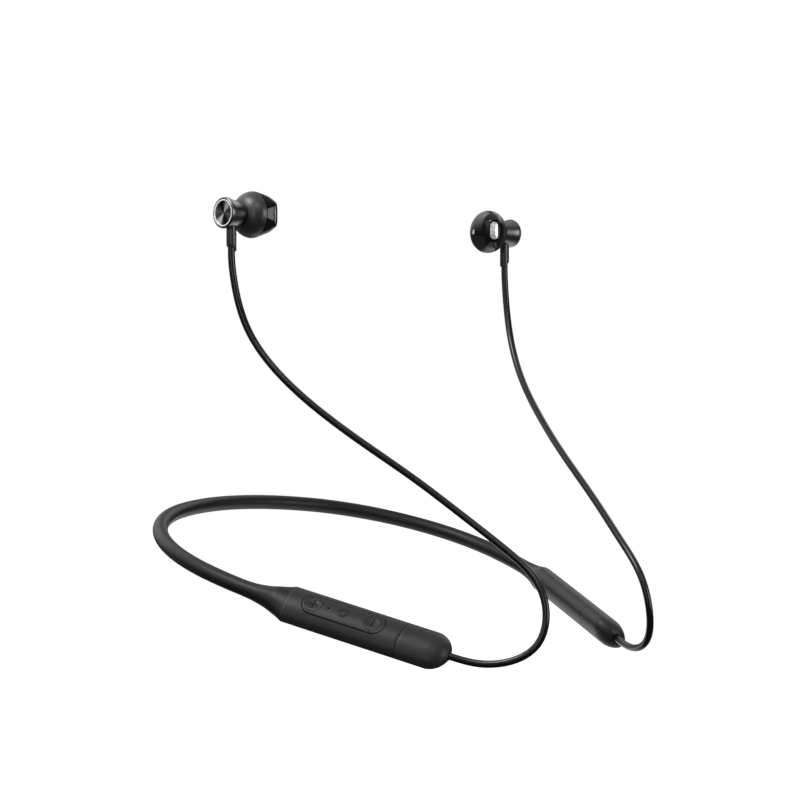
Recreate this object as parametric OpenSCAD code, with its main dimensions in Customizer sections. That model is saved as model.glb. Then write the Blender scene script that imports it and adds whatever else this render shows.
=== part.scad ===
// Neckband earphones: a springy U that lies round the back of the neck, a control pod and a
// battery pod on its two ends, and a thin cable from each pod to an earbud.
// Row frame: +X wearer's left, -Y forward, +Z up. The origin is where the band rests on the nape.
// Lengths in millimetres.

/* [Neckband] */
// diameter of the silicone band
band_d = 5.2; // [4.6:0.1:5.8]
// bore of the band that the wire and the loom lie in
lumen_d = 2.6; // [2.5:0.05:2.8]
// centreline radius of the band at the nape
nape_r = 83.3; // [82.3:0.5:84.3]
// how far the nape arc runs to each side, in degrees
nape_a = 22; // [21:0.5:23]
// centreline radius of the band at the sides of the neck
side_r = 61.5; // [60.5:0.5:62.5]
// angle of each side arc, in degrees
side_a = 71; // [70:0.5:72]
// centreline radius of each arm towards its pod
arm_r = 98.9; // [96.9:0.5:100.9]
// angle of each arm arc, in degrees
arm_a = 19.7; // [18.7:0.5:20.7]
// length over which the band swells into the pod
flare_len = 19.4; // [17.4:0.5:21.4]
// forward tilt of the whole band as it is worn, in degrees
wear_pitch = 16.2; // [14.2:0.5:18.2]
// diameter of the springy memory wire
wire_d = 1.0; // [0.8:0.05:1.05]
// diameter of the wire loom that joins the pods
loom_d = 1.2; // [1.0:0.05:1.2]

/* [Pods] */
// length of a pod from the band to its tip
pod_len = 56.7; // [56.2:0.1:58.2]
// width across a pod's oval section
pod_w = 13.7; // [13.5:0.1:14.1]
// thickness through a pod's oval section
pod_t = 8.7; // [8.5:0.1:8.9]
// radius of the narrow edges of the oval section
edge_r = 3.0; // [2.9:0.1:3.1]
// turn of the broad face outwards about the pod's length, in degrees
pod_roll = 35.2; // [31.2:1:39.2]
// distance from the band to the seam of the end cap
seam_y = 40.1; // [39.8:0.1:40.5]
// wall thickness of the pods
wall = 1.1; // [1.0:0.05:1.2]
// length of the domed end of a cap
dome_len = 6.4; // [6:0.1:6.8]
// length of the spigot that plugs into the band
spigot_len = 4; // [3:0.5:4]
// length of the cap's tongue inside the body
tongue_len = 2.4; // [2:0.1:3]

/* [Keypad] */
// width of the pill-shaped keypad
pill_w = 7.4; // [7.0:0.1:7.6]
// length of the pill-shaped keypad
pill_len = 28.7; // [28.4:0.1:29]
// distance from the band to the middle of the keypad
pill_y = 19.9; // [19.7:0.1:20.1]
// depth of the keypad recess
pill_t = 1.0; // [0.9:0.05:1.05]
// diameter of the volume keys
key_d = 5.6; // [5.2:0.1:5.8]
// diameter of the function key
fkey_d = 3.2; // [3.0:0.1:3.6]
// position of the volume-up key along the pod
plus_y = 9.3; // [9.2:0.1:9.5]
// position of the microphone hole along the pod
mic_y = 14.6; // [14.4:0.1:14.9]
// position of the function key along the pod
func_y = 19.8; // [19.5:0.1:20.1]
// position of the volume-down key along the pod
minus_y = 30.1; // [29.9:0.1:30.4]
// how far a key moves when it is pressed
key_travel = 0.25; // [0.15:0.01:0.28]
// depth of the finger dish in a volume key
dish_depth = 0.35; // [0.2:0.05:0.4]
// length of the strokes of the plus and the minus sign
mark_len = 2.6; // [2.2:0.1:3]

/* [Cables] */
// diameter of the earbud cables
cable_d = 2.35; // [2.2:0.05:2.4]

/* [Earbuds] */
// distance of each earbud's stem from the middle of the head
bud_x = 65.6; // [65.4:0.1:65.8]
// distance of the stems behind (-) or ahead of the nape along Y
bud_y = -69; // [-69.4:0.2:-68.6]
// height of the earbuds' axes
bud_z = 98.75; // [98.25:0.25:99.25]
// greatest diameter of the earbud, at its seam
bud_d = 15.4; // [15.2:0.1:15.6]
// depth of the front dome ahead of the seam
dome_h = 4.8; // [4.6:0.1:5.2]
// diameter of the rear rim of the barrel
barrel_d = 10.24; // [10.1:0.02:10.5]
// diameter of the barrel where it meets the earbud
barrel_d2 = 7.6; // [7.5:0.05:7.8]
// length of the barrel
barrel_len = 7.5; // [7.4:0.1:7.7]
// distance from the back of the barrel to the seam
seam_x = 12.6; // [12.5:0.05:12.8]
// diameter of the stem
stem_d = 3.3; // [3.2:0.05:3.4]
// distance of the stem from the back of the barrel
stem_x = 3.7; // [3.6:0.05:3.8]
// length of the stem below the earbud's axis, on its long side
stem_len = 12.4; // [12.2:0.1:12.6]
// turn of the sound outlet forwards from the earbud's axis, in degrees
outlet_a = 57; // [52:1:60]
// width of the sound outlet
outlet_w = 3.2; // [3:0.1:3.4]
// height of the sound outlet
outlet_h = 6.4; // [6.2:0.1:6.6]

/* [Hidden] */
$fn = 64;
fit = 0.05; // clearance between pieces that are plugged together
run = 0.08; // radial clearance of a sliding key
rim = 0.2; // groove round the keypad
skim = 0.01; // keeps two faces that lie on each other apart
m = 48; // points round an oval section
c_band = [0.16, 0.16, 0.17];
c_pod = [0.24, 0.24, 0.25];
c_black = [0.07, 0.07, 0.08];
c_steel = [0.75, 0.75, 0.77];
c_board = [0.05, 0.2, 0.12];
c_barrel = [0.2, 0.2, 0.21];

// band geometry in its own plane, with the nape contact at the origin
nape_c = [0, -nape_r];
side_c = nape_c + (nape_r - side_r) * [sin(nape_a), cos(nape_a)];
arm_c = side_c + (side_r - arm_r) * [sin(nape_a + side_a), cos(nape_a + side_a)];
end_h = nape_a + side_a + arm_a; // heading of the pods
pod_0 = arm_c + arm_r * [sin(end_h), cos(end_h)];

// oval section made of two broad arcs and two edge arcs
oc = pod_w / 2 - edge_r;
function big_r(d = 0) = (oc * oc + pow(pod_t / 2 - d, 2) - pow(edge_r - d, 2)) / (pod_t - 2 * edge_r);
ok = big_r(0) - pod_t / 2; // how far below the middle the broad arc is centred
function oval_rad(a, d = 0) =
    let (b = asin(min(1, abs(sin(a)))), r = big_r(d), e = edge_r - d,
         k = (r) / (r - e), bt = atan2(ok * (k - 1), oc * k))
    b < bt ? oc * cos(b) + sqrt(max(0, e * e - pow(oc * sin(b), 2)))
           : -ok * sin(b) + sqrt(r * r - pow(ok * cos(b), 2));
function oval_pts(d = 0) = [for (i = [0 : m - 1]) let (a = 360 * i / m) oval_rad(a, d) * [cos(a), sin(a)]];

// closed skins over rings of equally many points: loft() has flat ends, loop() comes back to its first ring
function skin(n, j, l) = [for (i = [0 : n - 1]) let (a = j * n + i, b = j * n + (i + 1) % n, c = l * n + i, d = l * n + (i + 1) % n)
    each [[a, c, d], [a, d, b]]];
module loft(rings) {
    n = len(rings[0]);
    k = len(rings);
    polyhedron(
        points = [for (r = rings) each r],
        faces = concat(
            [for (i = [1 : n - 2]) [0, i, i + 1]],
            [for (i = [1 : n - 2]) [(k - 1) * n, (k - 1) * n + i + 1, (k - 1) * n + i]],
            [for (j = [0 : k - 2]) each skin(n, j, j + 1)]));
}
module loop(rings) {
    k = len(rings);
    polyhedron(points = [for (r = rings) each r], faces = [for (j = [0 : k - 1]) each skin(len(rings[0]), j, (j + 1) % k)]);
}

// placement: the worn tilt, one side or the other, and a pod's own frame.
// In the pod frame +Y runs to the tip, +Z is the broad outer face and +X faces the neck.
module worn() { rotate([wear_pitch, 0, 0]) translate([0, band_d / 2, 0]) children(); }
module side(s) { if (s > 0) children(); else mirror([1, 0, 0]) children(); }
module pod_straight(s) {
    side(s) worn() translate([pod_0[0], pod_0[1], 0]) rotate([0, 0, 270 - end_h]) children();
}
module pod(s) { pod_straight(s) rotate([0, -pod_roll, 0]) children(); }
module prism(y0, y1, d = 0) { // oval prism between two stations of the pod
    translate([0, y1, 0]) rotate([90, 0, 0]) linear_extrude(y1 - y0) polygon(oval_pts(d));
}
module along(y0, y1, r) { translate([0, y0, 0]) rotate([-90, 0, 0]) cylinder(h = y1 - y0, r = r); }
module box(x, y, z) { translate([x[0], y[0], z[0]]) cube([x[1] - x[0], y[1] - y[0], z[1] - z[0]]); }

// the U's centreline by heading: 0 at the nape, end_h where the left pod starts, negative on the right
function mid(h) = let (q = abs(h), d = [sin(q), cos(q)],
        p = q <= nape_a ? nape_c + nape_r * d : q <= nape_a + side_a ? side_c + side_r * d : arm_c + arm_r * d)
    [h < 0 ? -p[0] : p[0], p[1]];
function steps(a, b, n) = [for (i = [1 : n]) a + (b - a) * i / n];
function half(last, n) = concat(steps(0, nape_a, 4), steps(nape_a, nape_a + side_a, 10), steps(nape_a + side_a, last, n));
function whole(last, n) = let (q = half(last, n)) concat([for (i = [len(q) - 1 : -1 : 0]) -q[i]], [0], q);
// a round ring across the U at heading h, off outwards from the centreline
function u_ring(c, h, r, off, n) = [for (i = [0 : n - 1]) let (a = 360 * i / n, e = off + r * cos(a))
    [c[0] + e * sin(h), c[1] + e * cos(h), r * sin(a)]];
function u_rings(r, off, n, hs) = [for (h = hs) u_ring(mid(h), h, r, off, n)];
function tail(s, y, r, off, n) = let (c = on_axis(y)) u_ring([s * c[0], c[1]], s * end_h, r, off, n);

// the swelling end of the band: rings of points round the arm's centreline
flare_a = flare_len / arm_r * 180 / PI;
function rolled(p) = [p[0] * cos(pod_roll) - p[1] * sin(pod_roll), p[0] * sin(pod_roll) + p[1] * cos(pod_roll)];
function on_arm(h) = arm_c + arm_r * [sin(h), cos(h)];
function on_axis(y) = pod_0 + y * [cos(end_h), -sin(end_h)];
function place(c, h, pts) = [for (q = pts) let (p = rolled(q)) [c[0] - p[0] * sin(h), c[1] - p[0] * cos(h), p[1]]];
function round_pts(r) = [for (i = [0 : m - 1]) r * [cos(360 * i / m), sin(360 * i / m)]];
// the thickness has grown to the pod's before the width has
function blend(p, q, ew, et) = [p[0] + (q[0] - p[0]) * ew, p[1] + (q[1] - p[1]) * et];
function swell(t) = let (ew = pow(t, 2.8), et = pow(min(1, t / 0.77), 2), r0 = band_d / 2, o = oval_pts())
    [for (i = [0 : m - 1]) let (a = 360 * i / m) blend(r0 * [cos(a), sin(a)], o[i], ew, et)];
function flare_ring(t) = let (h = end_h - flare_a * (1 - t)) place(on_arm(h), h, swell(t));
function bore_ring(t) = let (h = end_h - flare_a * (1 - t)) place(on_arm(h), h, round_pts(lumen_d / 2));

swells = 6; // rings in a swelling end
bores = floor(swells * (1 - (spigot_len + fit) / flare_len) - 0.1); // those that the bore runs through
module band_end(s) {
    rings = concat(
        [for (j = [0 : swells]) flare_ring(j / swells)],
        [place(on_axis(0), end_h, oval_pts(spigot_in - 2 * fit)),
         place(on_axis(-spigot_len - fit), end_h, oval_pts(spigot_in - 2 * fit)),
         bore_ring(1 - (spigot_len + fit) / flare_len)],
        [for (j = [bores : -1 : 0]) bore_ring(j / swells)]);
    color(c_band) side(s) worn() loop(rings);
}
module band_end_right() { band_end(-1); }
module band_end_left() { band_end(1); }

sleeve_h = end_h - flare_a; // the tube stops where its ends start to swell
module neckband_sleeve() {
    hs = whole(sleeve_h, 2);
    inner = u_rings(lumen_d / 2, 0, 24, hs);
    color(c_band) worn() loop(concat(u_rings(band_d / 2, 0, 24, hs), [for (i = [len(hs) - 1 : -1 : 0]) inner[i]]));
}

// the wire and the loom lie side by side in the bore, and run on into the pods
strand_gap = 0.02; // between a strand and the wall of the bore
wire_off = -(lumen_d / 2 - wire_d / 2 - strand_gap);
loom_off = lumen_d / 2 - loom_d / 2 - strand_gap;
module strand(r, off, y) {
    ends = steps(sleeve_h, end_h, swells);
    hs = concat([for (i = [swells - 1 : -1 : 0]) -ends[i]], whole(sleeve_h, 2), ends);
    worn() loft(concat([tail(-1, y, r, off, 8)], u_rings(r, off, 8, hs), [tail(1, y, r, off, 8)]));
}
module memory_wire() { color(c_steel) strand(wire_d / 2, wire_off, 1.4); }
module neck_loom() { color([0.15, 0.15, 0.15]) strand(loom_d / 2, loom_off, 3.6); }

// ---- pods ----
spigot_in = pod_t / 2 - lumen_d / 2 - 0.65; // how far the spigot stands inside the oval
top_in = pill_t + 0.55; // from the broad face to the underside of the wall below the keypad
floor_z = pod_t / 2 - top_in; // that underside
foot_t = 0.28; // foot that keeps a key in
foot_z = floor_z - foot_t - 0.19; // underside of the feet
key_gap = 0.03; // between a pressed key and the end of its switch's stroke
switch_top = foot_z - key_travel - key_gap;
switch_h = 0.75; // from the board to the top of a switch
board_t = 0.6;
board_z = switch_top - switch_h - board_t; // underside of the board
board_w = 8.8;
board_y = 3.7; // near end of the boards
bay_end = seam_y - tongue_len - 0.2; // far end of what lies in a pod, short of the cap's tongue
deep_y = pill_y + pill_len / 2 + 1; // from here on the control pod is hollow right up to its skin
rail_w = 0.6; // how far the board rests on a rail
usb_y = 28.5;
usb_h = 3.26; // outside of the charging port
usb_w = 8.94;
usb_z = board_z - usb_h / 2 - 0.03;
usb_x = 5.2; // mouth of the port
inside = 2; // thickness of the end wall at the band
module inner_top(d) { // everything under a broad arc set in by d
    translate([0, 0, -ok]) along(0, seam_y, big_r(0) - d);
}
module pill(w, l, z0, z1) {
    translate([0, pill_y - (l - w) / 2, z0]) cylinder(h = z1 - z0, r = w / 2);
    translate([0, pill_y + (l - w) / 2, z0]) cylinder(h = z1 - z0, r = w / 2);
    translate([-w / 2, pill_y - (l - w) / 2, z0]) cube([w, l - w, z1 - z0]);
}

module body_shell() { // plain pod body: spigot, end wall with its two holes, hollow oval
    difference() {
        body_solid();
        prism(inside, seam_y + 1, wall);
    }
}
module body_solid() {
    prism(0, seam_y);
    prism(-spigot_len, 0.5, spigot_in);
}
module strand_hole() { along(-spigot_len - 1, inside + 1, lumen_d / 2 + 0.15); }
module housing_right() {
    color(c_pod) pod(-1) difference() {
        body_solid();
        difference() { // the hollow, leaving a thick wall under the keypad and two rails for the board
            intersection() {
                prism(inside, seam_y + 1, wall);
                union() {
                    inner_top(top_in);
                    translate([-pod_w / 2, deep_y, -pod_t / 2]) cube([pod_w, seam_y - deep_y, pod_t]);
                }
            }
            for (sx = [0, 1], y = [[inside, usb_y - usb_w / 2 - 2], [bay_end - 2, bay_end]]) mirror([sx, 0, 0])
                box([board_w / 2 - rail_w, pod_w / 2 - wall / 2], y, [board_z - 0.9, board_z]);
        }
        difference() {
            pill(pill_w + 2 * rim, pill_len + 2 * rim, 0, 6);
            inner_top(pill_t);
        }
        for (y = [plus_y, func_y, minus_y]) translate([0, y, 0]) cylinder(h = 5, r = 1.0 + run);
        translate([0, mic_y, 0]) cylinder(h = 5, r = 0.45);
        strand_hole();
        // the charging port's mouth in the edge that faces the neck
        usb_slot(usb_y, usb_z, usb_h + 0.14, usb_w + 0.14, -1.5, 8);
    }
}
module usb_slot(y, z, h, w, x0, x1) {
    for (d = [-1, 1]) translate([x0, y + d * (w - h) / 2, z]) rotate([0, 90, 0]) cylinder(h = x1 - x0, r = h / 2);
    translate([x0, y - (w - h) / 2, z - h / 2]) cube([x1 - x0, w - h, h]);
}
module housing_left() {
    color(c_pod) pod(1) difference() {
        body_shell();
        strand_hole();
    }
}
// the end cap is one skin: tongue, straight part, dome, cable hole, hollow and back to the tongue
function oval_ring(y, d, k = 1) = [for (p = oval_pts(d)) [p[0] * k, y, p[1] * k]];
function hole_ring(y) = [for (p = round_pts(cable_d / 2 + 0.03)) [p[0], y, p[1]]];
function dome_ring(t) = oval_ring(pod_len - dome_len * (1 - t), 0, sqrt(1 - pow(t, 1.85)));
tip_t = 4; // how deep the cable's hole runs into the cap
tongue_t = 0.7; // thickness of the tongue
module end_cap(s) {
    tongue_d = wall + fit;
    color(c_pod) pod(s) loop(concat(
        [oval_ring(seam_y - tongue_len, tongue_d), oval_ring(seam_y, tongue_d), oval_ring(seam_y, 0)],
        [for (t = [0, 0.25, 0.45, 0.62, 0.76, 0.87, 0.94]) dome_ring(t)],
        [hole_ring(pod_len - 0.2), hole_ring(pod_len - tip_t), oval_ring(pod_len - tip_t, tongue_d + tongue_t),
         oval_ring(seam_y - tongue_len, tongue_d + tongue_t)]));
}
module end_cap_right() { end_cap(-1); }
module end_cap_left() { end_cap(1); }

// ---- keypad ----
module keypad_plate() {
    color(c_pod) pod(-1) difference() {
        intersection() {
            pill(pill_w, pill_len, 0, 6);
            prism(inside, seam_y);
        }
        inner_top(pill_t - skim);
        for (y = [plus_y, minus_y]) translate([0, y, 0]) cylinder(h = 6, r = key_d / 2 + run);
        translate([0, func_y, 0]) cylinder(h = 6, r = fkey_d / 2 + run);
        translate([0, mic_y, 0]) cylinder(h = 6, r = 0.35);
    }
}
module key(y, d, mark) { // cap in the plate, post through the wall, foot that keeps it in
    color(c_pod) pod(-1) translate([0, y, 0]) difference() {
        union() {
            difference() {
                intersection() {
                    cylinder(h = 6, r = d / 2);
                    translate([0, -y, 0]) prism(inside, seam_y);
                }
                translate([0, -y, 0]) inner_top(pill_t - key_travel - 0.05);
            }
            translate([0, 0, foot_z]) cylinder(h = pod_t / 2 - 0.5 - foot_z, r = 1.0);
            translate([0, 0, foot_z]) cylinder(h = foot_t, r = 1.5);
        }
        if (d > 4) translate([0, 0, pod_t / 2 - dish_depth + 11]) sphere(r = 11);
        if (mark == "plus") for (a = [0, 90]) rotate([0, 0, a]) stroke();
        if (mark == "minus") stroke();
        if (mark == "ring") translate([0, 0, pod_t / 2 - mark_t]) difference() {
            cylinder(h = 1, r = 1.3);
            translate([0, 0, -1]) cylinder(h = 3, r = 1.3 - mark_w);
        }
    }
}
mark_w = 0.34; // width of the signs' strokes
mark_t = 0.12; // their depth
module stroke() {
    translate([-mark_len / 2, -mark_w / 2, pod_t / 2 - dish_depth - mark_t]) cube([mark_len, mark_w, 1]);
}
module key_volume_up() { key(plus_y, key_d, "plus"); }
module key_function() { key(func_y, fkey_d, "ring"); }
module key_volume_down() { key(minus_y, key_d, "minus"); }

// ---- control pod electronics ----
module control_board() {
    color(c_board) pod(-1) difference() {
        box([-board_w / 2, board_w / 2], [board_y, bay_end - 0.1], [board_z, board_z + board_t]);
        translate([0, mic_y, 0]) cylinder(h = 3, r = 0.5);
    }
}
module switch(y) {
    color(c_steel) pod(-1) {
        box([-1.5, 1.5], [y - 1.5, y + 1.5], [board_z + board_t, board_z + board_t + 0.5]);
        translate([0, y, board_z + board_t + 0.4]) cylinder(h = switch_h - 0.4, r = 0.8);
    }
}
module switch_volume_up() { switch(plus_y); }
module switch_function() { switch(func_y); }
module switch_volume_down() { switch(minus_y); }
radio_w = board_w - 2 * rail_w - 0.4; // between the rails
module radio_module() {
    color(c_steel) pod(-1) box([-radio_w / 2, radio_w / 2], [board_y + 1.3, board_y + 12.3], [board_z - 1.5, board_z]);
}
module microphone() {
    color([0.8, 0.7, 0.35]) pod(-1) difference() {
        box([-1.4, 1.4], [mic_y - 1.2, mic_y + 1.2], [board_z + board_t, floor_z - 0.17]);
        translate([0, mic_y, board_z + board_t + 0.55]) cylinder(h = 2, r = 0.25);
    }
}
module usb_c_receptacle() {
    color(c_steel) pod(-1) difference() {
        usb_slot(usb_y, usb_z, usb_h, usb_w, -1.2, usb_x);
        difference() {
            usb_slot(usb_y, usb_z, usb_h - 0.66, usb_w - 0.6, -0.6, usb_x + 1);
            box([-1, usb_x - 0.8], [usb_y - 3.2, usb_y + 3.2], [usb_z - 0.35, usb_z + 0.35]);
        }
    }
}
relief_t = 2; // thickness of the ring on the cable
module strain_relief(s) {
    color(c_black) pod(s) difference() {
        along(pod_len - tip_t - relief_t, pod_len - tip_t, 2.1);
        along(pod_len - tip_t - relief_t - 1, pod_len - tip_t + 1, cable_d / 2);
    }
}
module strain_relief_right() { strain_relief(-1); }
module strain_relief_left() { strain_relief(1); }

// ---- battery pod contents ----
module battery_cell() { color([0.7, 0.7, 0.72]) pod(1) prism(10, bay_end, wall + 0.1); }
module protection_board() {
    color(c_board) pod(1) box([-4.9, 4.9], [board_y, 9.8], [-board_t / 2, board_t / 2]);
}

// ---- earbuds: local +X points into the ear from the back face, -Y is forward ----
module bud(s) { side(-s) translate([-bud_x - stem_x, bud_y, bud_z]) children(); }
module turned(pts) { rotate([0, 90, 0]) rotate_extrude() polygon(pts); } // points are [radius, x]
module disc(x0, x1, r, ri = 0) {
    translate([x0, 0, 0]) rotate([0, 90, 0]) difference() {
        cylinder(h = x1 - x0, r = r);
        if (ri > 0) translate([0, 0, -1]) cylinder(h = x1 - x0 + 2, r = ri);
    }
}
br = barrel_d / 2;
bf = barrel_d2 / 2;
ring_r = 4.4; // outside radius of the bright ring
plug_gap = 0.03; // round what is plugged in or cast in
cable_in = 8.9; // depth below the earbud's axis at which the cable ends
module bud_barrel(s) {
    color(c_barrel) bud(s) difference() {
        turned([[ring_r + 0.03, 0], [br - 0.4, 0], [br - 0.1, 0.2], [br, 0.6], [br - 0.07, 1.2], [br - 0.26, 2],
            [br - 0.5, 3], [bf + 0.5, 4.5], [bf + 0.2, 6], [bf, barrel_len], [3.2, barrel_len],
            [3.2, barrel_len + 1], [2.5, barrel_len + 1], [2.5, 1.75], [3.35, 1.75], [3.35, 1.1],
            [ring_r + 0.03, 1.1]]);
        translate([stem_x, 0, -7]) cylinder(h = 7, r = stem_d / 2 + plug_gap);
    }
}
module bud_trim_ring(s) {
    color([0.85, 0.85, 0.87]) bud(s)
        turned([[ring_r, 0.05], [ring_r - 0.1, -0.08], [ring_r - 0.32, -0.08], [ring_r - 0.4, 0.1],
            [ring_r - 0.4, 1.08], [ring_r, 1.08]]);
}
module bud_back_disc(s) { color(c_black) bud(s) turned([[0, 0.5], [3.97, 0.25], [3.97, 1.08], [0, 1.08]]); }
module bud_clip_magnet(s) { color(c_steel) bud(s) disc(1.1, 1.73, 3.3); }
drv = seam_x - 1.3; // back of the driver
function rear(k, q) = [bf + (bud_d / 2 - bf) * k, barrel_len + (seam_x - barrel_len) * q];
module bud_rear_shell(s) {
    color(c_barrel) bud(s) turned([[3.23, barrel_len + 0.02], [bf + 0.12, barrel_len + 0.02], rear(0.286, 0.085),
        rear(0.506, 0.213), rear(0.701, 0.383), rear(0.862, 0.585), rear(0.956, 0.787),
        [bud_d / 2, seam_x - 0.02], [5.7, seam_x - 0.02], [5.7, drv], [5.2, drv], [5.2, drv - 1.5],
        [4.4, barrel_len + 1.1], [3.23, barrel_len + 1.1]]);
}
mouth = [seam_x + 4.2, -7.2, 0]; // middle of the sound outlet
module at_mouth() { translate(mouth) rotate([0, 0, -outlet_a]) children(); }
module slot(x0, x1, w, h) { // upright slot with round ends, along local X
    translate([x0, 0, 0]) rotate([0, 90, 0]) {
        for (d = [-1, 1]) translate([d * (h - w) / 2, 0, 0]) cylinder(h = x1 - x0, r = w / 2);
        translate([-(h - w) / 2, -w / 2, 0]) cube([h - w, w, x1 - x0]);
    }
}
vent_r = 1.15;
module at_vent() { translate([seam_x, 2.1, 0]) rotate([0, 0, 17]) children(); }
module dome(r, h, x) {
    intersection() {
        translate([x, 0, 0]) scale([h / r, 1, 1]) sphere(r = r, $fn = 40);
        translate([x, -9, -9]) cube([9, 18, 18]);
    }
}
module bud_front_shell(s) {
    color(c_black) bud(s) difference() {
        hull() {
            dome(bud_d / 2, dome_h, seam_x);
            at_mouth() slot(-0.6, 0, outlet_w + 1.2, outlet_h + 1.8, $fn = 32);
            at_mouth() slot(-2.4, -2.2, outlet_w + 3, outlet_h + 4.4, $fn = 32);
        }
        intersection() {
            dome(bud_d / 2 - 0.9, dome_h - 0.9, seam_x - 0.01);
            translate([seam_x - 1, -8, -8]) cube([8, 16, 16]);
        }
        at_mouth() slot(-4.5, 1, outlet_w, outlet_h);
        at_vent() disc(2, 7, vent_r);
    }
}
module bud_sound_mesh(s) { color(c_steel) bud(s) at_mouth() slot(-0.7, -0.5, outlet_w, outlet_h); }
module bud_vent_mesh(s) {
    color(c_steel) bud(s) at_vent() disc(dome_h - 1, dome_h - 0.85, vent_r);
}
module bud_driver(s) {
    color([0.3, 0.3, 0.32]) bud(s) turned([[0, drv], [5.2, drv], [5.65, drv + 0.02],
        [5.65, drv + 0.9], [5.2, drv + 0.9], [5.2, drv + 0.6], [0, drv + 0.6]]);
}
module bud_driver_magnet(s) { color(c_steel) bud(s) disc(drv - 1.6, drv, 3.7); }
module bud_diaphragm(s) {
    color([0.6, 0.5, 0.3]) bud(s) turned([[0, drv + 1.1], [2.4, drv + 1.2], [2.6, drv + 0.95],
        [5.5, drv + 0.92], [5.5, drv + 1.05], [2.7, drv + 1.07], [2.5, drv + 1.28], [0, drv + 1.22]]);
}
module bud_stem(s) {
    color(c_band) bud(s) translate([stem_x, 0, 0]) difference() {
        translate([0, 0, -stem_len]) cylinder(h = stem_len - 2.6, r = stem_d / 2);
        translate([0, 0, -stem_len - 1]) cylinder(h = stem_len + 1 - cable_in, r = cable_d / 2 + run);
        // the slanting lower end: longer on the side towards the ear
        translate([stem_d / 2, 0, -stem_len]) rotate([0, 35, 0]) translate([-8, -4, -6]) cube([9, 8, 6]);
    }
}
module bud_barrel_right() { bud_barrel(-1); }
module bud_barrel_left() { bud_barrel(1); }
module bud_trim_ring_right() { bud_trim_ring(-1); }
module bud_trim_ring_left() { bud_trim_ring(1); }
module bud_back_disc_right() { bud_back_disc(-1); }
module bud_back_disc_left() { bud_back_disc(1); }
module bud_clip_magnet_right() { bud_clip_magnet(-1); }
module bud_clip_magnet_left() { bud_clip_magnet(1); }
module bud_rear_shell_right() { bud_rear_shell(-1); }
module bud_rear_shell_left() { bud_rear_shell(1); }
module bud_front_shell_right() { bud_front_shell(-1); }
module bud_front_shell_left() { bud_front_shell(1); }
module bud_sound_mesh_right() { bud_sound_mesh(-1); }
module bud_sound_mesh_left() { bud_sound_mesh(1); }
module bud_vent_mesh_right() { bud_vent_mesh(-1); }
module bud_vent_mesh_left() { bud_vent_mesh(1); }
module bud_driver_right() { bud_driver(-1); }
module bud_driver_left() { bud_driver(1); }
module bud_driver_magnet_right() { bud_driver_magnet(-1); }
module bud_driver_magnet_left() { bud_driver_magnet(1); }
module bud_diaphragm_right() { bud_diaphragm(-1); }
module bud_diaphragm_left() { bud_diaphragm(1); }
module bud_stem_right() { bud_stem(-1); }
module bud_stem_left() { bud_stem(1); }

// ---- cables: a smooth curve pulled along route points, mirrored for the right side ----
function tilt(p) = let (y = p[1] + band_d / 2) [p[0], y * cos(wear_pitch) - p[2] * sin(wear_pitch),
    y * sin(wear_pitch) + p[2] * cos(wear_pitch)];
function axis_pt(y) = let (c = on_axis(y)) tilt([c[0], c[1], 0]);
tip = axis_pt(pod_len);
route = [tip, axis_pt(pod_len + 13), [26, -170.5, -39.5], [23.5, -169.5, -19.5], [28, -155, -8], [34, -140.5, 3],
    [38.5, -127.5, 12.5], [44, -114, 21.5], [50.5, -100, 31.5], [57.5, -84.5, 44.5], [64, -72.5, 61],
    [bud_x, bud_y, 81], [bud_x, bud_y, 87]];
full = concat([2 * route[0] - route[1]], route, [2 * route[12] - route[11]]);
function spline(u) = let (i = min(floor(u), 11), t = u - i)
    (pow(1 - t, 3) * full[i] + (3 * t * t * t - 6 * t * t + 4) * full[i + 1]
     + (-3 * t * t * t + 3 * t * t + 3 * t + 1) * full[i + 2] + t * t * t * full[i + 3]) / 6;
stops = concat([axis_pt(pod_len - tip_t - relief_t)], [for (j = [0 : 36]) spline(j / 3)],
    [[bud_x, bud_y, bud_z - cable_in - 0.1]]);
function unit(v) = v / norm(v);
function ring8(i) = let (c = stops[i], t = unit(stops[min(i + 1, len(stops) - 1)] - stops[max(i - 1, 0)]),
        a = unit(cross(t, [1, 0, 0])), b = cross(t, a))
    [for (q = [0 : 7]) c + cable_d / 2 * (cos(45 * q) * a + sin(45 * q) * b)];
module cable(s) { color(c_black) side(s) loft([for (i = [0 : len(stops) - 1]) ring8(i)]); }
module cable_right() { cable(-1); }
module cable_left() { cable(1); }

neckband_sleeve();
band_end_right();
band_end_left();
memory_wire();
neck_loom();
housing_right();
end_cap_right();
keypad_plate();
key_volume_up();
key_function();
key_volume_down();
control_board();
switch_volume_up();
switch_function();
switch_volume_down();
radio_module();
microphone();
usb_c_receptacle();
strain_relief_right();
housing_left();
end_cap_left();
battery_cell();
protection_board();
strain_relief_left();
cable_right();
cable_left();
bud_barrel_right();
bud_trim_ring_right();
bud_back_disc_right();
bud_clip_magnet_right();
bud_rear_shell_right();
bud_front_shell_right();
bud_sound_mesh_right();
bud_vent_mesh_right();
bud_driver_right();
bud_driver_magnet_right();
bud_diaphragm_right();
bud_stem_right();
bud_barrel_left();
bud_trim_ring_left();
bud_back_disc_left();
bud_clip_magnet_left();
bud_rear_shell_left();
bud_front_shell_left();
bud_sound_mesh_left();
bud_vent_mesh_left();
bud_driver_left();
bud_driver_magnet_left();
bud_diaphragm_left();
bud_stem_left();
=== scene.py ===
# %% [markdown]
# # Neckband earphones
# A springy silicone U lies round the back of the neck. A control pod and a battery pod hang from its
# two ends, and a thin cable runs from the tip of each pod up to an earbud. This script dresses the
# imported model: it keeps the hidden parts, and replaces what shows with finely made pieces.

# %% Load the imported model
import bisect
import math

import bmesh
import bpy
from mathutils import Matrix, Vector


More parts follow.
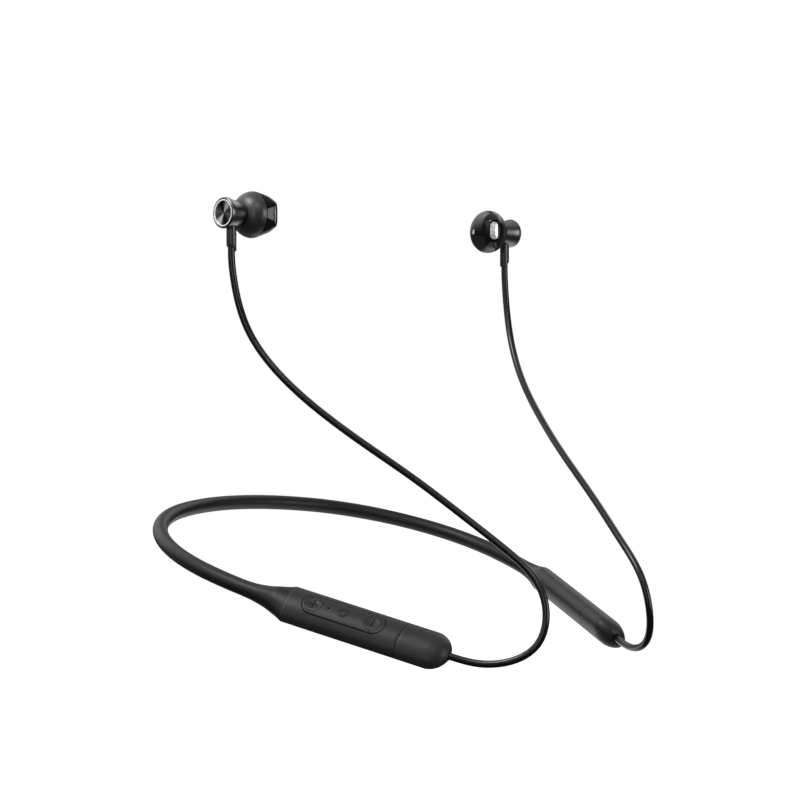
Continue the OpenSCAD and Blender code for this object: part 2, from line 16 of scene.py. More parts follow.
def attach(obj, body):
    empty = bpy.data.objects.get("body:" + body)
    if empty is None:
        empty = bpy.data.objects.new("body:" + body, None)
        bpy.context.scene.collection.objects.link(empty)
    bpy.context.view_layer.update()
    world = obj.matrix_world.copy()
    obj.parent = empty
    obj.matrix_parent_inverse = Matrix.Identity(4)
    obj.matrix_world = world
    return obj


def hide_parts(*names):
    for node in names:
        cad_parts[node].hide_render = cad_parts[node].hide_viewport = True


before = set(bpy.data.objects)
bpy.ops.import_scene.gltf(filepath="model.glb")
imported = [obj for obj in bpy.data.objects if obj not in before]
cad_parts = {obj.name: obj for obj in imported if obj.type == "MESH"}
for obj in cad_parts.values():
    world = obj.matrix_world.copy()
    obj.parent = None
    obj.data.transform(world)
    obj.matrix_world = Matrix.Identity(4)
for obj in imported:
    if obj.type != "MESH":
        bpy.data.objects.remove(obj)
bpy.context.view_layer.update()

# %% [markdown]
# ## Sizes
# Every length is in millimetres, as on a drawing, and one scale factor turns it into metres at the
# end. The band is three arcs that flow into each other, so three radii and three angles draw it. A name
# that ends in D is a diameter, R a radius, W a width, H a height, T a thickness, A an angle in degrees,
# and X, Y or Z a place. PILL is the keypad's outline, and FKEY and FUNC are the function key.

# %% Sizes of the band, the pods and the earbuds
MM = 0.001
BAND_D, BORE_D = 5.2, 2.6
ARCS = [(83.3, 22.0), (61.5, 71.0), (98.9, 19.7)]  # radius and angle of each arc, from the nape on
FLARE_LEN, WEAR_PITCH, POD_ROLL = 19.4, 16.2, 35.2  # the pitch and the roll are in degrees
POD_LEN, POD_W, POD_T, EDGE_R = 56.7, 13.7, 8.7, 3.0
SEAM_Y, WALL, DOME_LEN, TONGUE, SPIGOT = 40.1, 1.1, 6.4, 2.4, 4.0
PILL_W, PILL_LEN, PILL_Y, PILL_T, RIM = 7.4, 28.7, 19.9, 1.0, 0.2
KEY_D, FKEY_D, PLUS_Y, MIC_Y, FUNC_Y, MINUS_Y = 5.6, 3.2, 9.3, 14.6, 19.8, 30.1
USB_Y, USB_Z, USB_H, USB_W = 28.5, -0.96, 3.4, 9.08
CABLE_D = 2.35
BUD = Vector((65.6, -69.0, 98.75))  # the left earbud's stem, where it meets the axis
STEM_X, STEM_D, STEM_LEN, CABLE_IN = 3.7, 3.3, 12.4, 8.9
BARREL_D, BARREL_D2, BARREL_LEN, SEAM_X, BUD_D, DOME_H = 10.24, 7.6, 7.5, 12.6, 15.4, 4.8
OUTLET_A, OUTLET_W, OUTLET_H, VENT_D = 57.0, 3.2, 6.4, 2.3


def heading(h):
    """The outward and the forward direction of the band where its heading is h degrees."""
    a = math.radians(h)
    return Vector((math.sin(a), math.cos(a), 0)), Vector((math.cos(a), -math.sin(a), 0))


centres, turn = [], 0.0
centre = Vector((0, 0, 0))
last_r = 0.0
for r, angle in ARCS:
    centre = centre + (last_r - r) * heading(turn)[0]
    centres.append(centre.copy())
    turn += angle
    last_r = r
END_H = turn
POD_0 = centres[2] + ARCS[2][0] * heading(END_H)[0]
print("pods start at", [round(c, 2) for c in POD_0], "heading", END_H)

# %% [markdown]
# ## Frames
# Three small matrices place the work. The band is drawn flat and then tipped forward as it is worn.
# A pod is drawn along its own Y axis, with its broad face up, and an earbud along its own X axis.

# %% Placing matrices
SCALE = Matrix.Scale(MM, 4)
ACROSS = Matrix.Rotation(math.radians(90), 4, "Y")  # turns what faces up to face along X


def sided(side):
    return Matrix.Scale(side, 4, (1, 0, 0))


WORN = Matrix.Rotation(math.radians(WEAR_PITCH), 4, "X") @ Matrix.Translation((0, BAND_D / 2, 0))


def pod_frame(side):
    turn_z = Matrix.Rotation(math.radians(270 - END_H), 4, "Z")
    roll = Matrix.Rotation(math.radians(-POD_ROLL), 4, "Y")
    return SCALE @ sided(side) @ WORN @ Matrix.Translation(POD_0) @ turn_z @ roll


def bud_frame(side):
    return SCALE @ sided(-side) @ Matrix.Translation((-BUD.x - STEM_X, BUD.y, BUD.z))


SIDES = {"right": -1, "left": 1}
for side_name, side in SIDES.items():
    print(side_name, "pod starts at", [round(c * 1000, 1) for c in pod_frame(side).translation], "mm")

# %% [markdown]
# ## Camera and studio
# The camera stands 45 degrees to the right of the wearer's front, level with the object, through a
# long lens, over a pale floor. Five soft lights stand round the object. Gloss mirrors a dim room with a
# bright card behind the object and four soft glows, so that dark rubber and plastic get edges of light.

# %% Camera


def show(obj):
    bpy.context.scene.collection.objects.link(obj)


camera_data = bpy.data.cameras.new("camera")
camera_data.lens = 108.0
camera_data.sensor_width = 36.0
camera = bpy.data.objects.new("camera", camera_data)
camera.location = (-0.57826, -0.65913, 0.03809)
camera.rotation_euler = (math.radians(90), 0, math.radians(-45))
show(camera)
bpy.context.scene.camera = camera
bpy.context.scene.view_settings.view_transform = "Standard"
print("camera at", [round(c, 3) for c in camera.location], "m, lens", camera_data.lens, "mm")

# %% [markdown]
# ## Helpers
# One function turns a hex colour into the linear numbers that a shader works with, and one adds a node
# with its settings and links. Four short ones in the next cell chain the nodes that do sums.

# %% Colour and node helpers


def paint(code):
    """An sRGB hex colour as linear RGBA."""
    parts = [int(code[i:i + 2], 16) / 255 for i in (1, 3, 5)]
    return [c / 12.92 if c <= 0.04045 else ((c + 0.055) / 1.055) ** 2.4 for c in parts] + [1.0]


def node(tree, kind, links=(), **settings):
    """Adds a node. A setting names a property or, failing that, an input; a link is (input, output)."""
    made = tree.nodes.new(kind)
    for name, value in settings.items():
        if hasattr(made, name):
            setattr(made, name, value)
        else:
            made.inputs[name.replace("_", " ")].default_value = value
    for name, source in links:
        tree.links.new(source, made.inputs[name])
    return made


# %% World, floor and lights
world = bpy.data.worlds.new("studio")
bpy.context.scene.world = world
world.use_nodes = True
sky = world.node_tree
sky.nodes.clear()
BEHIND, LEFTWARD = (0.7071, 0.7071, 0.0), (-0.7071, 0.7071, 0.0)


def dot(tree, source, direction):
    """How far a vector points in a direction."""
    made = node(tree, "ShaderNodeVectorMath", operation="DOT_PRODUCT", links=[(0, source)])
    made.inputs[1].default_value = direction
    return made.outputs["Value"]


def ramp(tree, source, start, end, low, high):
    """A soft step from low to high while the source goes from start to end."""
    made = node(tree, "ShaderNodeMapRange", interpolation_type="SMOOTHSTEP", links=[("Value", source)])
    for name, value in (("From Min", start), ("From Max", end), ("To Min", low), ("To Max", high)):
        made.inputs[name].default_value = value
    return made.outputs["Result"]


def both(tree, operation, first, second=0.0):
    """A sum on one or two numbers. The second may be a plain one."""
    made = node(tree, "ShaderNodeMath", operation=operation, links=[(0, first)])
    if isinstance(second, float):
        made.inputs[1].default_value = second
    else:
        tree.links.new(second, made.inputs[1])
    return made.outputs[0]


def rays(tree):
    """Whether it is the camera that looks, and whether it is gloss."""
    seen = node(tree, "ShaderNodeLightPath").outputs
    return seen["Is Camera Ray"], both(tree, "MAXIMUM", seen["Is Glossy Ray"], seen["Is Transmission Ray"])


where = node(sky, "ShaderNodeTexCoord").outputs["Generated"]
room = ramp(sky, dot(sky, where, BEHIND), 0.93, 0.98, 0.03, 1.0)  # the bright card
for direction, start, end, strength in (
        ((0, 0, 1), 0.45, 0.95, 0.6), ((0.05, 0.82, 0.57), 0.75, 1.0, 1.4),
        ((-0.81, 0.43, 0.4), 0.88, 1.0, 1.3), ((0.81, 0.2, 0.55), 0.9, 1.0, 1.6)):
    glow = ramp(sky, dot(sky, where, direction), start, end, 0.0, strength)
    room = both(sky, "MAXIMUM", room, glow)
in_camera, in_gloss = rays(sky)
level = both(sky, "MULTIPLY", room, ramp(sky, in_gloss, 0.0, 1.0, 0.6, 1.0))
level = both(sky, "MAXIMUM", level, in_camera)
plain = node(sky, "ShaderNodeBackground", links=[("Strength", level)], Color=paint("#ffffff"))
node(sky, "ShaderNodeOutputWorld", links=[("Surface", plain.outputs[0])])

GROUND_Z = -0.075
floor_mesh = bpy.data.meshes.new("floor")
bm = bmesh.new()
bmesh.ops.create_grid(bm, x_segments=1, y_segments=1, size=6.0,
                      matrix=Matrix.Translation((0, 0, GROUND_Z)))
bm.to_mesh(floor_mesh)
bm.free()
floor = bpy.data.objects.new("floor", floor_mesh)
show(floor)
floor_paint = bpy.data.materials.new("studio_floor")
floor_paint.use_nodes = True
tree = floor_paint.node_tree
tree.nodes.clear()
# The camera sees an even, pale floor; gloss sees it glow near the object and far behind only.
in_camera, in_gloss = rays(tree)
spot = node(tree, "ShaderNodeTexCoord").outputs["Object"]
ahead, left = dot(tree, spot, BEHIND), dot(tree, spot, LEFTWARD)
near = both(tree, "MULTIPLY", ramp(tree, ahead, -0.08, 0.0, 0.0, 1.0),
            ramp(tree, left, -0.23, -0.14, 0.05, 1.2))
near = both(tree, "MULTIPLY", near, ramp(tree, left, -0.06, 0.06, 1.0, 0.1))
far = both(tree, "MULTIPLY", ramp(tree, ahead, 0.4, 0.9, 0.0, 1.0),
           ramp(tree, both(tree, "ABSOLUTE", left), 0.15, 0.4, 1.0, 0.0))
fade = both(tree, "MAXIMUM", near, far)
share = both(tree, "MULTIPLY", both(tree, "MAXIMUM", in_camera, in_gloss), 0.93)
level = both(tree, "MULTIPLY", both(tree, "MAXIMUM", fade, in_camera), 1.06)
matt = node(tree, "ShaderNodeBsdfDiffuse", Color=paint("#d2d2d2"))
glow = node(tree, "ShaderNodeEmission", links=[("Strength", level)], Color=paint("#ffffff"))
mixed = node(tree, "ShaderNodeMixShader", links=[(0, share), (1, matt.outputs[0]), (2, glow.outputs[0])])
node(tree, "ShaderNodeOutputMaterial", links=[("Surface", mixed.outputs[0])])
floor_mesh.materials.append(floor_paint)


def soft_light(name, place, target, width, height, watts):
    data = bpy.data.lights.new(name, "AREA")
    data.shape, data.size, data.size_y, data.energy = "RECTANGLE", width, height, watts
    lamp = bpy.data.objects.new(name, data)
    lamp.location = place
    lamp.rotation_euler = (Vector(target) - Vector(place)).to_track_quat("-Z", "Y").to_euler()
    show(lamp)


AIM = (0, -0.08, 0.02)
soft_light("key_light", (-0.55, 0.05, 0.75), AIM, 0.4, 0.4, 4.6)
soft_light("front_light", (0.22, -1.0, 0.1), AIM, 0.3, 0.7, 3.8)
soft_light("camera_side_light", (-0.93, -0.55, 0.15), AIM, 0.25, 0.6, 1.2)
soft_light("side_light", (0.45, -0.42, 0.1), (0.08, -0.07, 0.1), 0.12, 0.3, 0.13)
soft_light("high_front_light", (-0.5, -0.75, 0.75), AIM, 0.4, 0.3, 1.4)
print("floor at", GROUND_Z, "m")

# %% [markdown]
# ## Cables first
# An earbud cable is a limp round cord in a satin jacket. A curve with a round bevel draws it exactly: its
# route is a short list of round points, smoothed by a cubic B-spline, from inside the pod's tip up into
# the stem of the earbud. The two routes are mirror copies.

# %% Shape of the cables


def tilted(p):
    return (WORN @ Vector(p).to_4d()).to_3d()


def axis_point(y):
    """A point on the left pod's axis, y millimetres from the band."""
    return tilted(POD_0 + y * heading(END_H)[1])


ROUTE = [axis_point(POD_LEN), axis_point(POD_LEN + 13)] + [Vector(p) for p in (
    (26, -170.5, -39.5), (23.5, -169.5, -19.5), (28, -155, -8), (34, -140.5, 3), (38.5, -127.5, 12.5),
    (44, -114, 21.5), (50.5, -100, 31.5), (57.5, -84.5, 44.5), (64, -72.5, 61),
    (BUD.x, BUD.y, 81), (BUD.x, BUD.y, 87))]
CURVE_STEPS = 8


def smooth_route(points):
    """The route as a fine uniform cubic B-spline that starts and ends on its end points."""
    full = [2 * points[0] - points[1]] + points + [2 * points[-1] - points[-2]]
    fine = []
    for i in range(len(points) - 1):
        a, b, c, d = full[i:i + 4]
        for k in range(CURVE_STEPS + (i == len(points) - 2)):
            t = k / CURVE_STEPS
            fine.append(((1 - t) ** 3 * a + (3 * t ** 3 - 6 * t * t + 4) * b
                         + (-3 * t ** 3 + 3 * t * t + 3 * t + 1) * c + t ** 3 * d) / 6)
    return fine


free_run = smooth_route(ROUTE)
free_length = sum((b - a).length for a, b in zip(free_run, free_run[1:]))
inside_pod = axis_point(POD_LEN - 6)
inside_stem = Vector((BUD.x, BUD.y, BUD.z - CABLE_IN - 0.1))
cable_run = [inside_pod] + free_run + [inside_stem]
cable_length = sum((b - a).length for a, b in zip(cable_run, cable_run[1:]))
cables = {}
for side_name, side in SIDES.items():
    data = bpy.data.curves.new("cable_" + side_name + "_tube", "CURVE")
    data.dimensions = "3D"
    data.bevel_depth = CABLE_D / 2 * MM
    data.bevel_resolution = 6
    data.use_fill_caps = True
    line = data.splines.new("POLY")
    line.points.add(len(cable_run) - 1)
    for point, p in zip(line.points, cable_run):
        point.co = (side * p.x * MM, p.y * MM, p.z * MM, 1)
    line.use_smooth = True
    cables[side_name] = bpy.data.objects.new("cable_" + side_name + "_cord", data)
    show(cables[side_name])
print("each cable:", round(cable_length, 1), "mm in all,", round(free_length, 1), "mm of it free")

# %% [markdown]
# ## Bmesh helpers
# Most pieces are a ring of points that is extruded, station by station, and reshaped as it goes: round
# for the band, oval for the pods. Turned pieces are a half profile that is spun about the earbud's axis.

# %% Bmesh helpers
RING = 96  # how many sides a round piece has
SHARP_RING = math.radians(25)  # a sharper ring on a turned piece may be rounded


def whole(bm):
    return bm.verts[:] + bm.edges[:] + bm.faces[:]


def verts_of(made):
    return [v for v in made if isinstance(v, bmesh.types.BMVert)]


def edges_of(made):
    """Of what an extrusion made, the vertices and the edges that join them."""
    verts = set(verts_of(made))
    return verts, [e for e in made
                   if isinstance(e, bmesh.types.BMEdge) and all(v in verts for v in e.verts)]


def thicken(bm, vec):
    """Draws flat faces out along vec into a solid."""
    made = bmesh.ops.extrude_face_region(bm, geom=bm.faces[:])["geom"]
    bmesh.ops.translate(bm, vec=vec, verts=verts_of(made))


def extrude_ring(bm, ring, move):
    """Extrudes an open ring of edges and moves each new vertex with move(place)."""
    verts, edges = edges_of(bmesh.ops.extrude_edge_only(bm, edges=ring)["geom"])
    for v in verts:
        v.co = move(v.co)
    return edges


def start_ring(bm, radius, matrix, count=RING):
    circle = bmesh.ops.create_circle(bm, cap_ends=False, segments=count, radius=radius, matrix=matrix)
    return list({e for v in circle["verts"] for e in v.link_edges})


def sweep_oval(stations):
    """A closed skin through stations (y, section), where section(angle) is the radius at that angle."""
    bm = bmesh.new()
    upright = Matrix.Rotation(math.radians(90), 4, "X")

    def moved(y, section):
        def move(co):
            a = math.atan2(co.z, co.x)
            return Vector((section(a) * math.cos(a), y, section(a) * math.sin(a)))
        return move
    ring = first = start_ring(bm, 1.0, upright)
    for v in {v for e in ring for v in e.verts}:
        v.co = moved(*stations[0])(v.co)
    for station in stations[1:]:
        ring = extrude_ring(bm, ring, moved(*station))
    bmesh.ops.bridge_loops(bm, edges=first + ring)
    return bm


def spun(profile, round_off=0.0, closed=True):
    """Spins the half profile [(radius, x), ...] about the X axis and rounds its sharp rings."""
    bm = bmesh.new()
    corners = [bm.verts.new((x, 0, r)) for r, x in profile]
    for a, b in zip(corners, corners[1:] + corners[:1] if closed else corners[1:]):
        bm.edges.new((a, b))
    bmesh.ops.spin(bm, geom=bm.verts[:] + bm.edges[:], cent=(0, 0, 0), axis=(1, 0, 0), dvec=(0, 0, 0),
                   angle=math.tau, steps=RING, use_merge=True, use_duplicate=False)
    bmesh.ops.remove_doubles(bm, verts=bm.verts[:], dist=1e-4)
    bmesh.ops.recalc_face_normals(bm, faces=bm.faces[:])
    if round_off:
        rings = [e for e in bm.edges if len(e.link_faces) == 2 and e.calc_face_angle() > SHARP_RING]
        bmesh.ops.bevel(bm, geom=rings, affect="EDGES", offset=round_off, offset_type="OFFSET", segments=3,
                        profile=0.5, material=-1, clamp_overlap=True)
    return bm


def raw(name, bm):
    """A scratch object from a bmesh, in millimetres and in its own frame."""
    mesh = bpy.data.meshes.new(name)
    bmesh.ops.remove_doubles(bm, verts=bm.verts[:], dist=1e-4)
    bmesh.ops.recalc_face_normals(bm, faces=bm.faces[:])
    bm.to_mesh(mesh)
    bm.free()
    obj = bpy.data.objects.new(name, mesh)
    show(obj)
    return obj


def settle(obj):
    """Makes the modifiers of a scratch object real."""
    bpy.context.view_layer.update()
    shape = bpy.data.meshes.new_from_object(obj.evaluated_get(bpy.context.evaluated_depsgraph_get()))
    obj.modifiers.clear()
    obj.data = shape
    return obj


def carve(obj, cutters, how="DIFFERENCE"):
    """Cuts obj with scratch objects, which are then thrown away."""
    for cutter in cutters:
        knife = obj.modifiers.new("cut", "BOOLEAN")
        knife.operation, knife.solver, knife.object = how, "EXACT", cutter
    settle(obj)
    for cutter in cutters:
        bpy.data.objects.remove(cutter)
    return obj


def ease(obj, width, segments, angle):
    """Rounds every edge sharper than the angle."""
    soft = obj.modifiers.new("ease", "BEVEL")
    soft.width, soft.segments = width, segments
    soft.limit_method, soft.angle_limit = "ANGLE", math.radians(angle)
    soft.miter_outer = "MITER_ARC"
    return settle(obj)


def finish_piece(obj, name, matrix, material, body, slot, stands_for, sharp=40, weigh=False):
    """Gives a scratch object its place, finish and body, and hides the CAD parts that it stands for.
    With weigh, broad faces set the shading."""
    obj.data.transform(matrix)
    if matrix.is_negative:
        obj.data.flip_normals()
    for face in obj.data.polygons:
        face.use_smooth = True
    obj.data.set_sharp_from_angle(angle=math.radians(sharp))
    if weigh:
        even = obj.modifiers.new("even", "WEIGHTED_NORMAL")
        even.keep_sharp, even.weight = True, 100
        settle(obj)
    obj.name = obj.data.name = name
    obj.data.materials.clear()
    obj.data.materials.append(material)
    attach(obj, body)
    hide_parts(*stands_for)
    print(name, len(obj.data.polygons), "faces")
    return obj


# %% [markdown]
# ## Materials
# Each finish is named for what it is and how it was made. One function makes a Principled shader with a
# fine surface grain: a noise whose scale is worked out from the size of the grain in millimetres.

# %% Material helper
CLOUD_MM = 9  # size of the clouds in roughness and tint


def finish(name, color, roughness, metallic=0.0, grain_mm=0.0, bump=0.0, uneven=0.0, tint=0.0, **sockets):
    """A Principled material. grain_mm is the size of the surface grain, bump its strength, uneven how far
    the roughness wanders in broad clouds, and tint how far the colour does."""
    made = bpy.data.materials.new(name)
    made.use_nodes = True
    tree = made.node_tree
    shader = tree.nodes["Principled BSDF"]
    shader.inputs["Base Color"].default_value = paint(color)
    shader.inputs["Roughness"].default_value = roughness
    shader.inputs["Metallic"].default_value = metallic
    for socket, value in sockets.items():
        shader.inputs[socket.replace("_", " ")].default_value = value
    place = node(tree, "ShaderNodeTexCoord")
    if bump:
        grain = node(tree, "ShaderNodeTexNoise", links=[("Vector", place.outputs["Object"])],
                     Scale=1 / (grain_mm * MM), Detail=3.0, Roughness=0.6)
        raised = node(tree, "ShaderNodeBump", links=[("Height", grain.outputs["Fac"])],
                      Strength=bump, Distance=grain_mm * MM * 0.25)
        tree.links.new(raised.outputs["Normal"], shader.inputs["Normal"])
    if uneven or tint:
        cloud = node(tree, "ShaderNodeTexNoise", links=[("Vector", place.outputs["Object"])],
                     Scale=1 / (CLOUD_MM * MM), Detail=4.0)
    if uneven:
        wander = node(tree, "ShaderNodeMapRange", links=[("Value", cloud.outputs["Fac"])])
        for label, value in (("To Min", roughness - uneven), ("To Max", roughness + uneven)):
            wander.inputs[label].default_value = value
        tree.links.new(wander.outputs["Result"], shader.inputs["Roughness"])
    if tint:
        shade = node(tree, "ShaderNodeMix", data_type="RGBA", links=[(0, cloud.outputs["Fac"])])
        for end, share in ((6, 1 - tint), (7, 1 + tint)):
            shade.inputs[end].default_value = [c * share for c in paint(color)[:3]] + [1]
        tree.links.new(shade.outputs[2], shader.inputs["Base Color"])
    return made


# %% Materials
# Moulded silicone: almost black and matte, with one broad, soft sheen and hardly any grain.
silicone = finish("silicone_moulded_black", "#131314", 0.44, grain_mm=0.2, bump=0.008, uneven=0.03,
                  tint=0.05, Specular_IOR_Level=0.33)
# ABS from a spark-eroded mould: a fine even grain spreads the light, so the pods look paler and drier.
pod_abs = finish("abs_spark_textured_charcoal", "#212122", 0.45, grain_mm=0.2, bump=0.015, uneven=0.03,
                 tint=0.05, Specular_IOR_Level=0.36)
# Extruded TPE: smooth along its length, so a thin bright line runs down the cable.
cable_tpe = finish("tpe_extruded_black", "#0b0b0c", 0.25, tint=0.05, Specular_IOR_Level=0.5)
# The same rubber from a mould: duller, with a wider highlight.
stem_tpe = finish("tpe_moulded_black", "#1c1c1d", 0.38, grain_mm=0.3, bump=0.01, uneven=0.03, tint=0.05,
                  Specular_IOR_Level=0.8)
# Anodised aluminium: a dark dye on metal, so it swings from black to grey round the barrel.
barrel_metal = finish("aluminium_anodised_gunmetal", "#747476", 0.28, metallic=1.0, uneven=0.02)
# Diamond-cut aluminium: its bevels catch light all the way round, and that light is painted in: a white,
# unmetallic painted highlight stands in for the metal's shine.
ring_painted_highlight = finish("aluminium_diamond_cut_painted_highlight", "#ffffff", 0.35, grain_mm=0.2, bump=0.01, uneven=0.02)
# Satin ABS: one large, soft-edged highlight on the dome.
satin_abs = finish("abs_satin_black", "#1c1c1d", 0.4, grain_mm=0.25, bump=0.004, uneven=0.02, tint=0.04,
                   Specular_IOR_Level=0.9)
# Polished ABS: black as glass, it mirrors the room with sharp edges, on a very slight ripple.
gloss_abs = finish("abs_polished_black", "#121213", 0.07, grain_mm=3.0, bump=0.004, uneven=0.02,
                   Specular_IOR_Level=0.27)
# Spun aluminium and woven steel: what they give the eye is told where their patterns are drawn below.
spun_metal = finish("aluminium_spun_black_painted_highlights", "#c8c8cc", 0.3, metallic=1.0, Anisotropic=0.6)
woven_steel = finish("stainless_mesh_woven", "#d9dadc", 0.3, metallic=0.6, uneven=0.03)

# The face is spun in fine rings, which throw light in wedges. The rings are too fine to show, so that light
# is painted: two bright painted highlight wedges, two faint ones, and black between them. The rings stretch
# the shine.
tree = spun_metal.node_tree
node(tree, "ShaderNodeTangent", direction_type="UV_MAP", uv_map="lay")
tree.links.new(tree.nodes["Tangent"].outputs[0], tree.nodes["Principled BSDF"].inputs["Tangent"])
lay = node(tree, "ShaderNodeTexCoord").outputs["UV"]
round_the_disc = node(tree, "ShaderNodeSeparateXYZ", links=[("Vector", lay)]).outputs["Y"]


def painted_highlight_wedge(angle, sharpness, strength):
    """A pair of opposite painted highlight wedges about an angle in degrees."""
    swing = both(tree, "MULTIPLY", both(tree, "SUBTRACT", round_the_disc, angle / 360), math.tau)
    shine = both(tree, "POWER", both(tree, "ABSOLUTE", both(tree, "COSINE", swing)), sharpness)
    return both(tree, "MULTIPLY", shine, strength)


# Painted highlights: the wedges lift the dark base colour towards white.
painted_highlight_tone = node(tree, "ShaderNodeMix", data_type="RGBA",
            links=[(0, both(tree, "MAXIMUM", painted_highlight_wedge(125.0, 14.0, 1.0), painted_highlight_wedge(200.0, 8.0, 0.3)))])
painted_highlight_tone.inputs[6].default_value, painted_highlight_tone.inputs[7].default_value = paint("#1c1c1e"), paint("#ffffff")
tree.links.new(painted_highlight_tone.outputs[2], tree.nodes["Principled BSDF"].inputs["Base Color"])

# The mesh is a square weave: two sets of wires whose heights make the bump and whose gaps are dark. A
# whole wave is two wires wide.
WAVE_MM, WIRE_RISE = 0.26, 0.03
tree = woven_steel.node_tree
lay = node(tree, "ShaderNodeTexCoord").outputs["UV"]
split = node(tree, "ShaderNodeSeparateXYZ", links=[("Vector", lay)])
wires = []
for letter in "XY":
    turns = both(tree, "MULTIPLY", split.outputs[letter], math.tau / WAVE_MM)
    wires.append(both(tree, "ABSOLUTE", both(tree, "SINE", turns)))
height = both(tree, "MAXIMUM", wires[0], wires[1])
bumped = node(tree, "ShaderNodeBump", links=[("Height", height)], Strength=0.5, Distance=WIRE_RISE * MM)
tree.links.new(bumped.outputs["Normal"], tree.nodes["Principled BSDF"].inputs["Normal"])
gaps = node(tree, "ShaderNodeMix", data_type="RGBA", links=[(0, ramp(tree, height, 0.35, 0.6, 0.0, 1.0))])
gaps.inputs[6].default_value, gaps.inputs[7].default_value = paint("#303032"), paint("#f2f3f5")
tree.links.new(gaps.outputs[2], tree.nodes["Principled BSDF"].inputs["Base Color"])

# Drawn steel: bright grey, with a slightly rough skin.
spring_wire = finish("spring_steel_drawn", "#9a9b9e", 0.3, metallic=1.0, grain_mm=0.2, bump=0.1, uneven=0.05)
# Extruded PVC: the dull black of thin insulation.
wire_pvc = finish("pvc_extruded_black", "#0e0e0e", 0.45, grain_mm=0.3, bump=0.1, uneven=0.05)
# Solder mask: a green varnish over glass fibre, with an uneven satin shine.
solder_mask = finish("fr4_solder_mask_green", "#12452c", 0.4, grain_mm=0.4, bump=0.15, uneven=0.05, tint=0.15)
# Tinned steel: pale, with a soft and cloudy shine.
tinned = finish("steel_tinned_can", "#b9babb", 0.35, metallic=1.0, grain_mm=0.25, bump=0.08, uneven=0.06)
# Gold plate on brass: warm and bright.
gilt = finish("brass_gold_plated", "#c9a457", 0.3, metallic=1.0, grain_mm=0.2, bump=0.05, uneven=0.05)
# Foil pouch: crinkled, so the light on it breaks up.
pouch = finish("aluminium_pouch_foil", "#b0b1b4", 0.38, metallic=1.0, grain_mm=0.8, bump=0.3, uneven=0.08)
# Nickel plate: the cleanest mirror of the hidden metals.
nickel = finish("nickel_plated_magnet", "#bcbcbe", 0.2, metallic=1.0, grain_mm=0.3, bump=0.04, uneven=0.05)
# Moulded PBT: a dull, grainy black.
frame_pbt = finish("pbt_moulded_black", "#171718", 0.5, grain_mm=0.25, bump=0.2, uneven=0.04, tint=0.05)
# PET film: thin, amber and glossy.
film_pet = finish("pet_film_amber", "#8f7442", 0.25, grain_mm=0.5, bump=0.1, uneven=0.05, tint=0.05)
print(len(bpy.data.materials), "materials")

# %% Cables in their jacket
out = axis_point(POD_LEN)
for side_name, side in SIDES.items():
    cord = cables[side_name]
    cord.data.materials.append(cable_tpe)
    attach(cord, "neckband")
    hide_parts("cable_" + side_name)
    print(cord.name, "leaves its pod at", [round(c * side if i == 0 else c, 1) for i, c in enumerate(out)])

# %% [markdown]
# ## Oval section of the pods
# The pod's section is two broad arcs joined by two narrow ones. Its radius at each angle is all that a
# swept ring needs, and the same function, set in by a wall's thickness, draws the inside.

# %% Oval section
OVAL_C = POD_W / 2 - EDGE_R


def big_r(inset=0.0):
    """Radius of the two broad arcs."""
    return (OVAL_C ** 2 + (POD_T / 2 - inset) ** 2 - (EDGE_R - inset) ** 2) / (POD_T - 2 * EDGE_R)


BELOW = big_r() - POD_T / 2  # how far below the axis a broad arc has its centre


def oval(inset=0.0, grow=1.0):
    """The section, set in by inset and then scaled by grow."""
    big, edge = big_r(inset), EDGE_R - inset
    k = big / (big - edge)
    switch = math.atan2(BELOW * (k - 1), OVAL_C * k)

    def radius(a):
        b = math.asin(min(1.0, abs(math.sin(a))))
        if b < switch:
            r = OVAL_C * math.cos(b) + math.sqrt(max(0.0, edge ** 2 - (OVAL_C * math.sin(b)) ** 2))
        else:
            r = -BELOW * math.sin(b) + math.sqrt(big ** 2 - (BELOW * math.cos(b)) ** 2)
        return r * grow
    return radius


def circle(r):
    return lambda a: r


def roof(x, inset=0.0):
    """Height of the broad face at x, set in by inset."""
    return math.sqrt((big_r() - inset) ** 2 - x * x) - BELOW


print("broad arcs of", round(big_r(), 2), "mm radius, narrow ones of", EDGE_R, "mm")

# %% [markdown]
# ## Silicone band
# The real band is one moulding, round along its length and swelling into an oval at each pod. A circle
# spun about the centre of each arc draws half of it, the last arc goes ring by ring as the section
# swells, and a mirror gives the other half. The bore for the wire and the loom is drawn the same way.

# %% Band
FLARE_A = math.degrees(FLARE_LEN / ARCS[2][0])
SPIGOT_IN = POD_T / 2 - BORE_D / 2 - 0.65
FLARE_RINGS = 22
bm = bmesh.new()


def spin_ring(bm, ring, centre, angle, steps):
    """Spins an open ring about an upright axis, clockwise, and gives back the ring at the far end."""
    geom = ring + list({v for e in ring for v in e.verts})
    made = bmesh.ops.spin(bm, geom=geom, cent=centre, axis=(0, 0, 1), dvec=(0, 0, 0), use_duplicate=False,
                          angle=-math.radians(angle), steps=steps)["geom_last"]
    return edges_of(made)[1]


def run_along(bm, radius):
    """A tube of that radius along half the band, up to where the ends start to swell."""
    ring = start_ring(bm, radius, ACROSS, 64)
    for (r, angle), centre, steps in zip(ARCS, centres, (10, 40, 8)):
        if r == ARCS[2][0]:
            angle -= FLARE_A
        ring = spin_ring(bm, ring, centre, angle, steps)
    return ring


def at_heading(h, out):
    """Moves a vertex into the plane across the band at heading h, where out(angle) is its radius."""
    middle = centres[2] + ARCS[2][0] * heading(h)[0]

    def move(co):
        back = co - centres[2]
        flat = math.hypot(back.x, back.y) - ARCS[2][0]
        a = math.atan2(co.z, -flat)
        r = out(a - math.radians(POD_ROLL))
        return middle - r * math.cos(a) * heading(h)[0] + Vector((0, 0, r * math.sin(a)))
    return move


